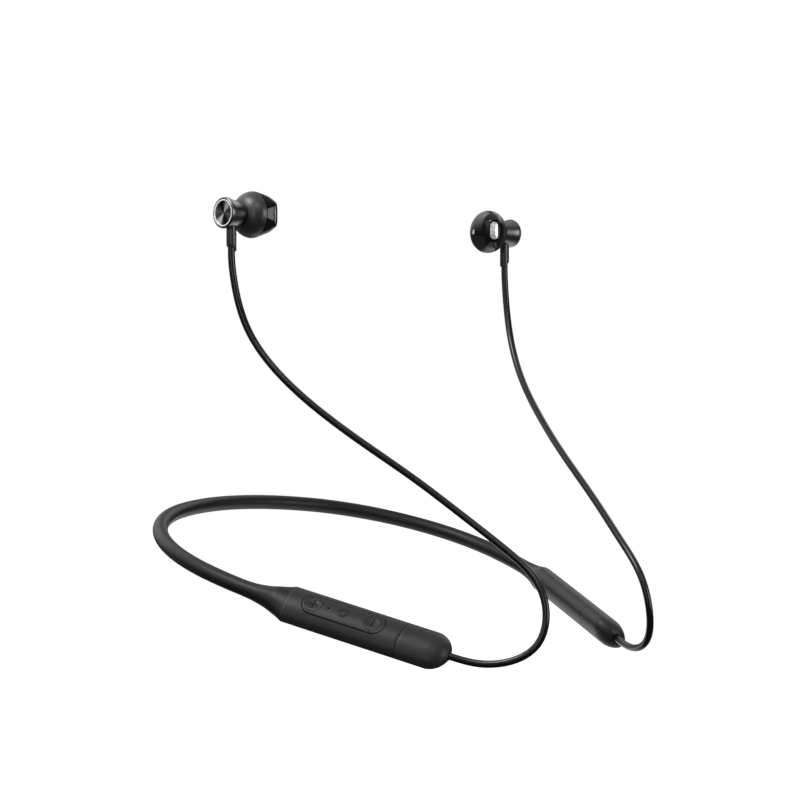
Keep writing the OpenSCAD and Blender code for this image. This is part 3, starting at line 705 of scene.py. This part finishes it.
def swollen(t):
    """The section at t, which runs from 0 at the round band to 1 at the pod. Its thickness has grown to
    the pod's before its width has."""
    wide, thick, r0, full = t ** 2.8, min(1.0, t / 0.77) ** 2, BAND_D / 2, oval()
    outline = []
    for degrees in range(-180, 181):
        a = math.radians(degrees)
        more = full(a) - r0
        x, z = (r0 + more * wide) * math.cos(a), (r0 + more * thick) * math.sin(a)
        outline.append((math.atan2(z, x) if abs(degrees) < 180 else a, math.hypot(x, z)))
    angles = [a for a, r in outline]

    def radius(a):
        a = math.remainder(a, math.tau)
        k = min(max(bisect.bisect(angles, a), 1), len(angles) - 1)
        (a0, r_0), (a1, r_1) = outline[k - 1], outline[k]
        return r_0 + (r_1 - r_0) * (a - a0) / (a1 - a0)
    return radius


outside = run_along(bm, BAND_D / 2)
for j in range(1, FLARE_RINGS + 1):
    t = j / FLARE_RINGS
    outside = extrude_ring(bm, outside, at_heading(END_H - FLARE_A * (1 - t), swollen(t)))
pocket = oval(SPIGOT_IN - 0.1)
outside = extrude_ring(bm, outside, at_heading(END_H, pocket))
outside = extrude_ring(bm, outside, at_heading(END_H - math.degrees(SPIGOT / ARCS[2][0]), pocket))
inside = run_along(bm, BORE_D / 2)
for j in range(1, 5):
    inside = extrude_ring(bm, inside, at_heading(END_H - FLARE_A * (1 - 0.19 * j), circle(BORE_D / 2)))
bmesh.ops.bridge_loops(bm, edges=outside + inside)
bmesh.ops.mirror(bm, geom=whole(bm), matrix=Matrix.Identity(4), merge_dist=1e-3, axis="X")
band = raw("band", bm)
finish_piece(band, "silicone_band", SCALE @ WORN, silicone, "neckband", "silicone",
             ("neckband_sleeve", "band_end_right", "band_end_left"))

# %% [markdown]
# ## Pod bodies
# Each pod body is a thin oval tube in fine-textured ABS, with a spigot that plugs into the band and a
# rounded edge at the seam. The control pod also has a recess for the keypad, with a thicker wall under
# it, and a slot for the charging port in the edge that faces the neck.

# %% Pod bodies and caps


def cylinder(name, radius, start, end, count=64):
    """A scratch cylinder between two points."""
    bm = bmesh.new()
    a, b = Vector(start), Vector(end)
    turned = (b - a).to_track_quat("Z", "Y").to_matrix().to_4x4()
    bmesh.ops.create_cone(bm, cap_ends=True, segments=count, radius1=radius, radius2=radius,
                          depth=(b - a).length, matrix=Matrix.Translation((a + b) / 2) @ turned)
    return raw(name, bm)


def plug(width, length, y, levels, cell=0.4):
    """A round or pill-shaped plug across the pod. Its outline grows, level by level, by the first number
    of each pair, and lies at the height that the second gives for each place."""
    bm = bmesh.new()
    r, reach = width / 2, (length - width) / 2
    corners = [math.tau * (i + 0.5) / RING for i in range(RING)]
    bm.faces.new([bm.verts.new((r * math.cos(a), y + math.copysign(reach, math.sin(a)) + r * math.sin(a), 0))
                  for a in corners])
    for axis, start, size in ((0, -r, width), (1, y - length / 2, length)):
        cuts = max(4, round(size / (cell if axis == 0 else 2 * cell)))
        for i in range(1, cuts):
            place, normal = Vector((0, 0, 0)), Vector((0, 0, 0))
            place[axis], normal[axis] = start + size * (i + 0.03) / cuts, 1
            bmesh.ops.bisect_plane(bm, geom=whole(bm), plane_co=place, plane_no=normal)

    def shape(verts, grow, height):
        for v in verts:
            core = Vector((0, y + min(max(v.co.y - y, -reach), reach), 0))
            out = Vector((v.co.x, v.co.y, 0)) - core
            if out.length > r - 0.02:
                out *= (out.length + grow) / out.length
            v.co = core + out
            v.co.z = height(v.co.x, v.co.y - y)
    shape(bm.verts, 0.0, levels[0][1])
    top, grown, between = bm.faces[:], 0.0, []
    for grow, height in levels[1:]:
        made = bmesh.ops.extrude_face_region(bm, geom=top, use_keep_orig=True)["geom"]
        bmesh.ops.delete(bm, geom=between, context="FACES")
        top = between = [f for f in made if isinstance(f, bmesh.types.BMFace)]
        shape(verts_of(made), grow - grown, height)
        grown = grow
    return raw("plug", bm)


def skin_at(inset=0.0):
    """The height of the broad face, set in by inset, for use in plug."""
    return lambda x, y: roof(x, inset)


def sunk(width, length, y, depth, flare, cell=0.4):
    """A cutter for a recess whose rim is eased by flare."""
    return plug(width, length, y, [(0, skin_at(depth)), (0, skin_at(flare)), (flare, skin_at()),
                                   (flare + 0.3, lambda x, y: 6.0)], cell)


def slot_cutter(h, w, y, z, x0, x1):
    """A slot with round ends across the edge of the pod, from x0 to x1."""
    bm = bmesh.new()
    bmesh.ops.create_circle(bm, cap_ends=True, segments=48, radius=h / 2, matrix=ACROSS)
    for v in bm.verts:
        v.co.y += math.copysign((w - h) / 2, v.co.y) if abs(v.co.y) > 1e-6 else 0
        v.co += Vector((x0, y, z))
    thicken(bm, (x1 - x0, 0, 0))
    return raw("slot", bm)


def ceiling(inset, height):
    """An oval wall that is cut flat at a height, for the thick wall under the keypad."""
    wall = oval(inset)
    return lambda a: min(wall(a), height / math.sin(a)) if math.sin(a) > 0.05 else wall(a)


FLOOR_T = 0.55  # wall under the keypad
FLOOR_Z = POD_T / 2 - PILL_T - FLOOR_T  # its underside
WALL_DROP = 0.6  # the wall is drawn this much thicker
TIP_T = 4.0  # how deep the cable's hole runs into a cap
GROOVE = 0.6  # depth of the seam
SEAMS = {"right": (0.09, 0.1), "left": (0.015, 0.035)}  # half the width of the seam, and its rounding
THROAT = circle(BORE_D / 2 + 0.15)  # the wires' way in from the band
POST_HOLE_R, MIC_HOLE_R = 1.08, 0.45


def seam_edge(way, half_seam, edge):
    """Stations of the rounded edge at the seam, from outside in; way is -1 for the body, 1 for the cap."""
    y = SEAM_Y + way * half_seam
    return [(y + way * 0.8 * edge, oval()), (y + way * 0.2 * edge, oval(0.3 * edge)),
            (y, oval(edge)), (y, oval(GROOVE))]


for side_name, side in SIDES.items():
    inner = ceiling(WALL, FLOOR_Z - WALL_DROP) if side_name == "right" else oval(WALL)
    deep = SEAM_Y - TONGUE - 0.8
    rings = [(y, oval()) for y in range(1, int(SEAM_Y))]
    bm = sweep_oval(
        [(0.02, oval(0.12)), (0.04, oval(0.04)), (0.1, oval())] + rings + seam_edge(-1, *SEAMS[side_name])
        + [(SEAM_Y, oval(GROOVE + 0.02)), (SEAM_Y, oval(WALL)), (deep, oval(WALL)), (deep - 0.1, inner),
           (2, inner), (2, THROAT), (-SPIGOT, THROAT), (-SPIGOT, oval(SPIGOT_IN)), (0.02, oval(SPIGOT_IN))])
    body = raw("body", bm)
    if side_name == "right":
        carve(body, [sunk(PILL_W + 2 * RIM, PILL_LEN + 2 * RIM, PILL_Y, PILL_T, 0.08)]
              + [cylinder("hole", POST_HOLE_R, (0, y, 1.5), (0, y, 6)) for y in (PLUS_Y, FUNC_Y, MINUS_Y)]
              + [cylinder("hole", MIC_HOLE_R, (0, MIC_Y, 1.5), (0, MIC_Y, 6), 24)]
              + [slot_cutter(USB_H, USB_W, USB_Y, USB_Z, 3.0, 8.0)])
    finish_piece(body, "pod_body_" + side_name, pod_frame(side), pod_abs, "neckband", "pod_plastic",
                 ("housing_" + side_name,), weigh=True)

    tongue, tongue_back = oval(WALL + 0.05), oval(WALL + 0.05 + 0.7)
    domes = [(POD_LEN - DOME_LEN * (1 - t), oval(0, math.sqrt(1 - t ** 1.85)))
             for t in [0.03 * k for k in range(1, 26)]
             + [0.775, 0.8, 0.825, 0.85, 0.87, 0.89, 0.91, 0.925, 0.94]]
    hole = circle(CABLE_D / 2 + 0.03)
    rings = [(y, oval()) for y in range(int(SEAM_Y) + 1, int(POD_LEN - DOME_LEN) + 1)]
    bm = sweep_oval([(SEAM_Y - TONGUE, tongue), (SEAM_Y + 0.01, tongue), (SEAM_Y + 0.01, oval(GROOVE + 0.02))]
                    + seam_edge(1, *SEAMS[side_name])[::-1] + rings + domes
                    + [(POD_LEN - 0.25, circle(CABLE_D / 2 + 0.35)),
                       (POD_LEN - 0.3, circle(CABLE_D / 2 + 0.12)), (POD_LEN - 0.5, hole),
                       (POD_LEN - TIP_T, hole), (POD_LEN - TIP_T, tongue_back),
                       (SEAM_Y - TONGUE, tongue_back)])
    finish_piece(raw("cap", bm), "pod_cap_" + side_name, pod_frame(side), pod_abs, "neckband",
                 "pod_plastic", ("end_cap_" + side_name,))

# %% [markdown]
# ## Keypad and keys
# The keypad is a pill-shaped plate that lies flush in its recess, with a fine groove round it. The two
# volume keys are shallow dishes with a plus and a minus cut into them, and the function key between
# them carries a broken ring. Each key has a post and a foot below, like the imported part.

# %% Keypad plate
plate = plug(PILL_W, PILL_LEN, PILL_Y, [(0, skin_at(PILL_T)), (0, skin_at(0.08)), (-0.06, skin_at(0.01))])
carve(plate, [sunk(d + 0.16, d + 0.16, y, PILL_T + 0.5, 0.06, d / 16)
              for y, d in ((PLUS_Y, KEY_D), (MINUS_Y, KEY_D), (FUNC_Y, FKEY_D))]
      + [cylinder("hole", 0.38, (0, MIC_Y, 0), (0, MIC_Y, 6), 32)])
finish_piece(plate, "keypad_insert", pod_frame(-1), pod_abs, "neckband", "pod_plastic", ("keypad_plate",),
             weigh=True)

# %% Keys
DISH_R, DISH_DEPTH, TRAVEL = 11.0, 0.35, 0.25
POST_R, FOOT_R, FOOT_T, FOOT_Z = 1.0, 1.5, 0.28, FLOOR_Z - 0.47
MARK_LEN, MARK_W, MARK_T, SIGN_R, SIGN_IN_R = 3.2, 0.36, 0.3, 1.32, 1.06


def bar_cutter(y, z, across, along):
    """A bar, a millimetre tall, whose underside is at z."""
    bm = bmesh.new()
    bmesh.ops.create_cube(bm, size=1.0)
    bmesh.ops.transform(bm, verts=bm.verts[:], matrix=Matrix.Translation((0, y, z + 0.5))
                        @ Matrix.Diagonal((across, along, 1, 1)))
    return raw("bar", bm)


def ring_cutter(y, z, gap, start):
    """A ring with a gap that begins at the start angle, for the sign on the function key."""
    bm = bmesh.new()
    ends = [bm.verts.new((SIGN_IN_R, 0, z)), bm.verts.new((SIGN_R, 0, z))]
    edge = bm.edges.new(ends)
    bmesh.ops.spin(bm, geom=ends + [edge], cent=(0, 0, 0), axis=(0, 0, 1), dvec=(0, 0, 0),
                   use_duplicate=False, angle=math.radians(360 - gap), steps=40)
    thicken(bm, (0, 0, 1))
    bmesh.ops.rotate(bm, verts=bm.verts[:], cent=(0, 0, 0),
                     matrix=Matrix.Rotation(math.radians(start), 3, "Z"))
    bmesh.ops.translate(bm, vec=(0, y, 0), verts=bm.verts[:])
    return raw("ring", bm)


def key_piece(y, d, mark):
    """A key at y, d across. The volume keys are dished; the function key follows the plate."""
    dished = d > FKEY_D

    def face(x, along):
        dish = POD_T / 2 - DISH_DEPTH + DISH_R - math.sqrt(DISH_R ** 2 - x * x - along * along)
        return min(roof(x), dish) if dished else roof(x)
    cap = plug(d, d, y, [(0, skin_at(PILL_T - TRAVEL - 0.05)), (0, lambda x, v: face(x, v) - 0.09),
                         (-0.03, lambda x, v: face(x, v) - 0.03), (-0.09, face)], d / 24)
    z = POD_T / 2 - (DISH_DEPTH if dished else 0.0) - MARK_T
    marks = {"plus": [(MARK_LEN, MARK_W), (MARK_W, MARK_LEN)], "minus": [(MARK_LEN, MARK_W)]}
    carve(cap, [bar_cutter(y, z, across, along) for across, along in marks[mark]] if mark in marks
          else [ring_cutter(y, z, 215, start) for start in (95, 275)])
    post = cylinder("post", POST_R, (0, y, FOOT_Z), (0, y, roof(POST_R, PILL_T - TRAVEL) + 0.1))
    foot = cylinder("foot", FOOT_R, (0, y, FOOT_Z), (0, y, FOOT_Z + FOOT_T))
    return carve(cap, [post, foot], "UNION")


for node_name, y, d, mark in (("key_volume_up", PLUS_Y, KEY_D, "plus"),
                              ("key_function", FUNC_Y, FKEY_D, "ring"),
                              ("key_volume_down", MINUS_Y, KEY_D, "minus")):
    finish_piece(key_piece(y, d, mark), node_name + "_cap", pod_frame(-1), pod_abs, node_name,
                 "pod_plastic", (node_name,), weigh=True)

# %% [markdown]
# ## Earbuds
# The back of an earbud is a waisted metal barrel that ends in a bright chamfered ring round a black disc
# with a spun face. These are turned parts, so each is a half profile spun about the axis. The shells are
# mouldings that meet at the greatest diameter; the front one is drawn out to a slot-shaped mouth.

# %% Earbud pieces
BARREL_R, WAIST_R, RING_R, DISC_R, DRIVER_X = BARREL_D / 2, BARREL_D2 / 2, 4.4, 3.97, SEAM_X - 1.3
RING_LOW, SEAT_X = RING_R - 0.4, 1.08  # inside of the ring, and where it and the disc end
NECK_R, TUBE_R, MAGNET_R, MAGNET_X = 3.2, 2.5, 3.35, 1.75  # inside the barrel
SHELL_WALL, RIM_IN_R, POCKET_R = 0.9, 5.7, 5.2  # inside the shells
MOUTH_X, MOUTH_Y, VENT_Y, VENT_A = 4.2, -7.2, 2.1, 17
MOUTH = ((0, 3.6, 7.2), (-0.12, 4.1, 7.8), (-0.4, 4.6, 8.5), (-1.0, 5.4, 9.5), (-1.8, 6.4, 10.8),
         (-2.8, 7.5, 12.1))  # place, width and height of its outlines, going back
MOUTH_STEPS, SQUARENESS, VOXEL, SOFTENINGS = 160, 0.72, 0.13, 34
STEM_TOP, SLANT_A = 2.6, 35  # how far below the axis it starts, and its cut end
PROFILE_STEPS = 6


def smooth_profile(points):
    """Draws a Catmull-Rom curve through the middle points of a profile."""
    full = [points[0]] + list(points) + [points[-1]]
    fine = []
    for p0, p1, p2, p3 in zip(full, full[1:], full[2:], full[3:]):
        for k in range(PROFILE_STEPS):
            t = k / PROFILE_STEPS
            fine.append(tuple(0.5 * (2 * b + (c - a) * t + (2 * a - 5 * b + 4 * c - d) * t * t
                                     + (3 * b - a - 3 * c + d) * t ** 3)
                              for a, b, c, d in zip(p0, p1, p2, p3)))
    return fine + [tuple(points[-1])]


AT_MOUTH = (Matrix.Translation((SEAM_X + MOUTH_X, MOUTH_Y, 0))
            @ Matrix.Rotation(math.radians(-OUTLET_A), 4, "Z"))
AT_VENT = Matrix.Translation((SEAM_X, VENT_Y, 0)) @ Matrix.Rotation(math.radians(VENT_A), 4, "Z")


def mouth_slot(x0, x1, w, h):
    """A scratch slot with round ends, upright in the mouth, from x0 to x1."""
    bm = bmesh.new()
    bmesh.ops.create_circle(bm, cap_ends=True, segments=64, radius=w / 2,
                            matrix=Matrix.Translation((x0, 0, 0)) @ ACROSS)
    for v in bm.verts:
        v.co.z += math.copysign((h - w) / 2, v.co.z) if abs(v.co.z) > 1e-6 else 0
    thicken(bm, (x1 - x0, 0, 0))
    bmesh.ops.transform(bm, matrix=AT_MOUTH, verts=bm.verts[:])
    return raw("slot", bm)


def ball(r, h, x):
    """A ball flattened along X, as a bmesh."""
    bm = bmesh.new()
    bmesh.ops.create_uvsphere(bm, u_segments=128, v_segments=64, radius=r,
                              matrix=Matrix.Translation((x, 0, 0)) @ Matrix.Scale(h / r, 4, (1, 0, 0))
                              @ ACROSS)
    return bm


def cut_back(bm, x):
    """Keeps what lies in front of x and closes it there."""
    bmesh.ops.bisect_plane(bm, geom=whole(bm), plane_co=(x, 0, 0), plane_no=(1, 0, 0), clear_inner=True)
    bmesh.ops.holes_fill(bm, edges=[e for e in bm.edges if len(e.link_faces) == 1])
    return bm


def bulged(x, along):
    """The sound mesh is pressed slightly outwards, less so towards its ends."""
    return -0.55 + 0.4 * (1 - (2 * x / OUTLET_W) ** 2) * (1 - (2 * along / OUTLET_H) ** 2)


def vent_plug(radius, start, end):
    """A scratch cylinder along the vent's own axis."""
    return cylinder("vent", radius, AT_VENT @ Vector((start, 0, 0)), AT_VENT @ Vector((end, 0, 0)), 48)


def front_shell():
    """A skin drawn tight over a dome and the outlines of the mouth, softened, hollowed and pierced."""
    bm = ball(BUD_D / 2, DOME_H, SEAM_X)
    for x, w, h in MOUTH:
        for i in range(MOUTH_STEPS):
            a = math.tau * i / MOUTH_STEPS
            across, up = (math.copysign(abs(q) ** SQUARENESS, q) for q in (math.cos(a), math.sin(a)))
            bm.verts.new(AT_MOUTH @ Vector((x, w / 2 * across, h / 2 * up)))
    hull = bmesh.ops.convex_hull(bm, input=bm.verts[:])
    bmesh.ops.delete(bm, geom=list(set(verts_of(hull["geom_interior"] + hull["geom_unused"]))),
                     context="VERTS")
    shell = raw("front", bm)
    even = shell.modifiers.new("even", "REMESH")
    even.mode, even.voxel_size, even.use_smooth_shade = "VOXEL", VOXEL, True
    soften = shell.modifiers.new("soften", "SMOOTH")
    soften.factor, soften.iterations = 0.5, SOFTENINGS
    settle(shell)
    bm = bmesh.new()
    bm.from_mesh(shell.data)
    bpy.data.objects.remove(shell)
    shell = raw("front", cut_back(bm, SEAM_X + 0.03))
    hollow = ball(BUD_D / 2 - SHELL_WALL, DOME_H - SHELL_WALL, SEAM_X)
    return carve(shell, [raw("hollow", cut_back(hollow, SEAM_X - 1)),
                         mouth_slot(-4.5, 1, OUTLET_W, OUTLET_H),
                         mouth_slot(-0.16, 1, OUTLET_W + 0.3, OUTLET_H + 0.3), vent_plug(VENT_D / 2, 2, 7)])


def unwrap(obj, place):
    """Lays the faces out, where place gives u and v for a point in the piece's own frame."""
    layer = obj.data.uv_layers.new(name="lay")
    for face in obj.data.polygons:
        middle = face.center.copy()
        for corner in face.loop_indices:
            layer.data[corner].uv = place(obj.data.vertices[obj.data.loops[corner].vertex_index].co, middle)
    return obj


def polar(co, middle):
    """Radius first, then the angle, kept near that of the middle of the face."""
    toward = math.atan2(middle.z, middle.y)
    out = math.hypot(co.y, co.z)
    turned = toward + math.remainder(math.atan2(co.z, co.y) - toward, math.tau) if out > 1e-3 else toward
    return out / 8, turned / math.tau  # 8 mm is more than any turned radius


def flat(matrix):
    """Millimetres across and up, in the frame of the matrix."""
    back = matrix.inverted()
    return lambda co, middle: ((back @ co).y, (back @ co).z)


def stem_piece():
    """A round stem with a slanting lower end, longer on the side towards the ear."""
    length, slant = STEM_LEN - STEM_TOP, math.radians(SLANT_A)
    bm = bmesh.new()
    bmesh.ops.create_cone(bm, cap_ends=True, segments=64, radius1=STEM_D / 2, radius2=STEM_D / 2,
                          depth=length, matrix=Matrix.Translation((STEM_X, 0, -STEM_TOP - length / 2)))
    low = Vector((STEM_X + STEM_D / 2, 0, -STEM_LEN))
    bmesh.ops.bisect_plane(bm, geom=whole(bm), plane_co=low, clear_inner=True,
                           plane_no=(math.sin(slant), 0, math.cos(slant)))
    bmesh.ops.holes_fill(bm, edges=bm.edges[:])
    stem = ease(raw("stem", bm), 0.18, 3, 50)
    return carve(stem, [cylinder("hole", CABLE_D / 2 + 0.06, (STEM_X, 0, -STEM_LEN - 2),
                                 (STEM_X, 0, -CABLE_IN))])


for side_name, side in SIDES.items():
    place, body = bud_frame(side), "earbud_" + side_name

    def bud_piece(obj, name, material, slot, stands_for, **more):
        return finish_piece(obj, name + "_" + side_name, place, material, body, slot,
                            ("bud_" + stands_for + "_" + side_name,), **more)

    def turned_piece(name, profile, material, slot, stands_for, **more):
        return bud_piece(unwrap(raw(name, spun(profile, **more)), polar), name, material, slot, stands_for)

    waist = smooth_profile([(BARREL_R, 0.6), (BARREL_R - 0.07, 1.2), (BARREL_R - 0.26, 2),
                            (BARREL_R - 0.5, 3), (WAIST_R + 0.5, 4.5), (WAIST_R + 0.2, 6),
                            (WAIST_R, BARREL_LEN - 0.5), (WAIST_R - 0.2, BARREL_LEN)])
    turned_piece("barrel", [(RING_R + 0.03, 0.02), (BARREL_R - 0.35, 0.02), (BARREL_R - 0.08, 0.2)] + waist
                 + [(NECK_R, BARREL_LEN), (NECK_R, BARREL_LEN + 1), (TUBE_R, BARREL_LEN + 1),
                    (TUBE_R, MAGNET_X), (MAGNET_R, MAGNET_X), (MAGNET_R, 1.1), (RING_R + 0.03, 1.1)],
                 barrel_metal, "dark_metal", "barrel", round_off=0.05)
    turned_piece("bright_ring", [(RING_R, 0.05), (RING_R - 0.06, -0.06), (RING_R - 0.14, -0.08),
                                 (RING_R - 0.34, -0.02), (RING_LOW, 0.12), (RING_LOW, SEAT_X),
                                 (RING_R, SEAT_X)], ring_painted_highlight, "bright_ring", "trim_ring")
    turned_piece("spun_disc", [(0, 0.42), (DISC_R, 0.25), (DISC_R, SEAT_X), (0, SEAT_X)],
                 spun_metal, "spun_disc", "back_disc", closed=False)
    swell_back = smooth_profile([(WAIST_R + 0.12, BARREL_LEN + 0.02)] + [
        (WAIST_R + (BUD_D / 2 - WAIST_R) * k, BARREL_LEN + (SEAM_X - BARREL_LEN) * q)
        for k, q in ((0.286, 0.085), (0.506, 0.213), (0.701, 0.383), (0.862, 0.585), (0.956, 0.787),
                     (0.995, 0.965))])
    turned_piece("rear_shell", [(NECK_R + 0.03, BARREL_LEN + 0.02)] + swell_back
                 + [(BUD_D / 2 - 0.12, SEAM_X - 0.07), (RIM_IN_R, SEAM_X - 0.07), (RIM_IN_R, DRIVER_X),
                    (POCKET_R, DRIVER_X), (POCKET_R, DRIVER_X - 1.5), (4.4, BARREL_LEN + 1.1),
                    (NECK_R + 0.03, BARREL_LEN + 1.1)], satin_abs, "satin_shell", "rear_shell")
    bud_piece(front_shell(), "front_shell", gloss_abs, "gloss_shell", "front_shell", sharp=50, weigh=True)
    sound = plug(OUTLET_W, OUTLET_H, 0.0, [(0, lambda x, v: -0.9), (0, lambda x, v: -0.55), (0.0, bulged)],
                 0.2)
    sound.data.transform(AT_MOUTH @ Matrix(((0, 0, 1, 0), (1, 0, 0, 0), (0, 1, 0, 0), (0, 0, 0, 1))))
    bud_piece(unwrap(sound, flat(AT_MOUTH)), "sound_mesh", woven_steel, "mesh", "sound_mesh")
    vent = vent_plug(VENT_D / 2 - 0.22, DOME_H - 0.9, DOME_H - 0.6)
    bud_piece(unwrap(vent, flat(AT_VENT)), "vent_mesh", woven_steel, "mesh", "vent_mesh")
    bud_piece(stem_piece(), "stem", stem_tpe, "stem_rubber", "stem")

# %% [markdown]
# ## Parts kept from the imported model
# What lies inside needs no new shape. Each part keeps its slot and gets a finish that suits it.

# %% Hidden parts
KEPT = {
    "memory_wire": spring_wire, "neck_loom": wire_pvc, "control_board": solder_mask,
    "protection_board": solder_mask, "switch_volume_up": tinned, "switch_function": tinned,
    "switch_volume_down": tinned, "radio_module": tinned, "usb_c_receptacle": tinned, "microphone": gilt,
    "battery_cell": pouch, "strain_relief_right": cable_tpe, "strain_relief_left": cable_tpe,
}
for side_name in SIDES:
    KEPT.update({"bud_clip_magnet_" + side_name: nickel, "bud_driver_magnet_" + side_name: nickel,
                 "bud_driver_" + side_name: frame_pbt, "bud_diaphragm_" + side_name: film_pet})
for name, material in KEPT.items():
    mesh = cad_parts[name].data
    mesh.materials.clear()
    mesh.materials.append(material)
print(len(KEPT), "parts kept")
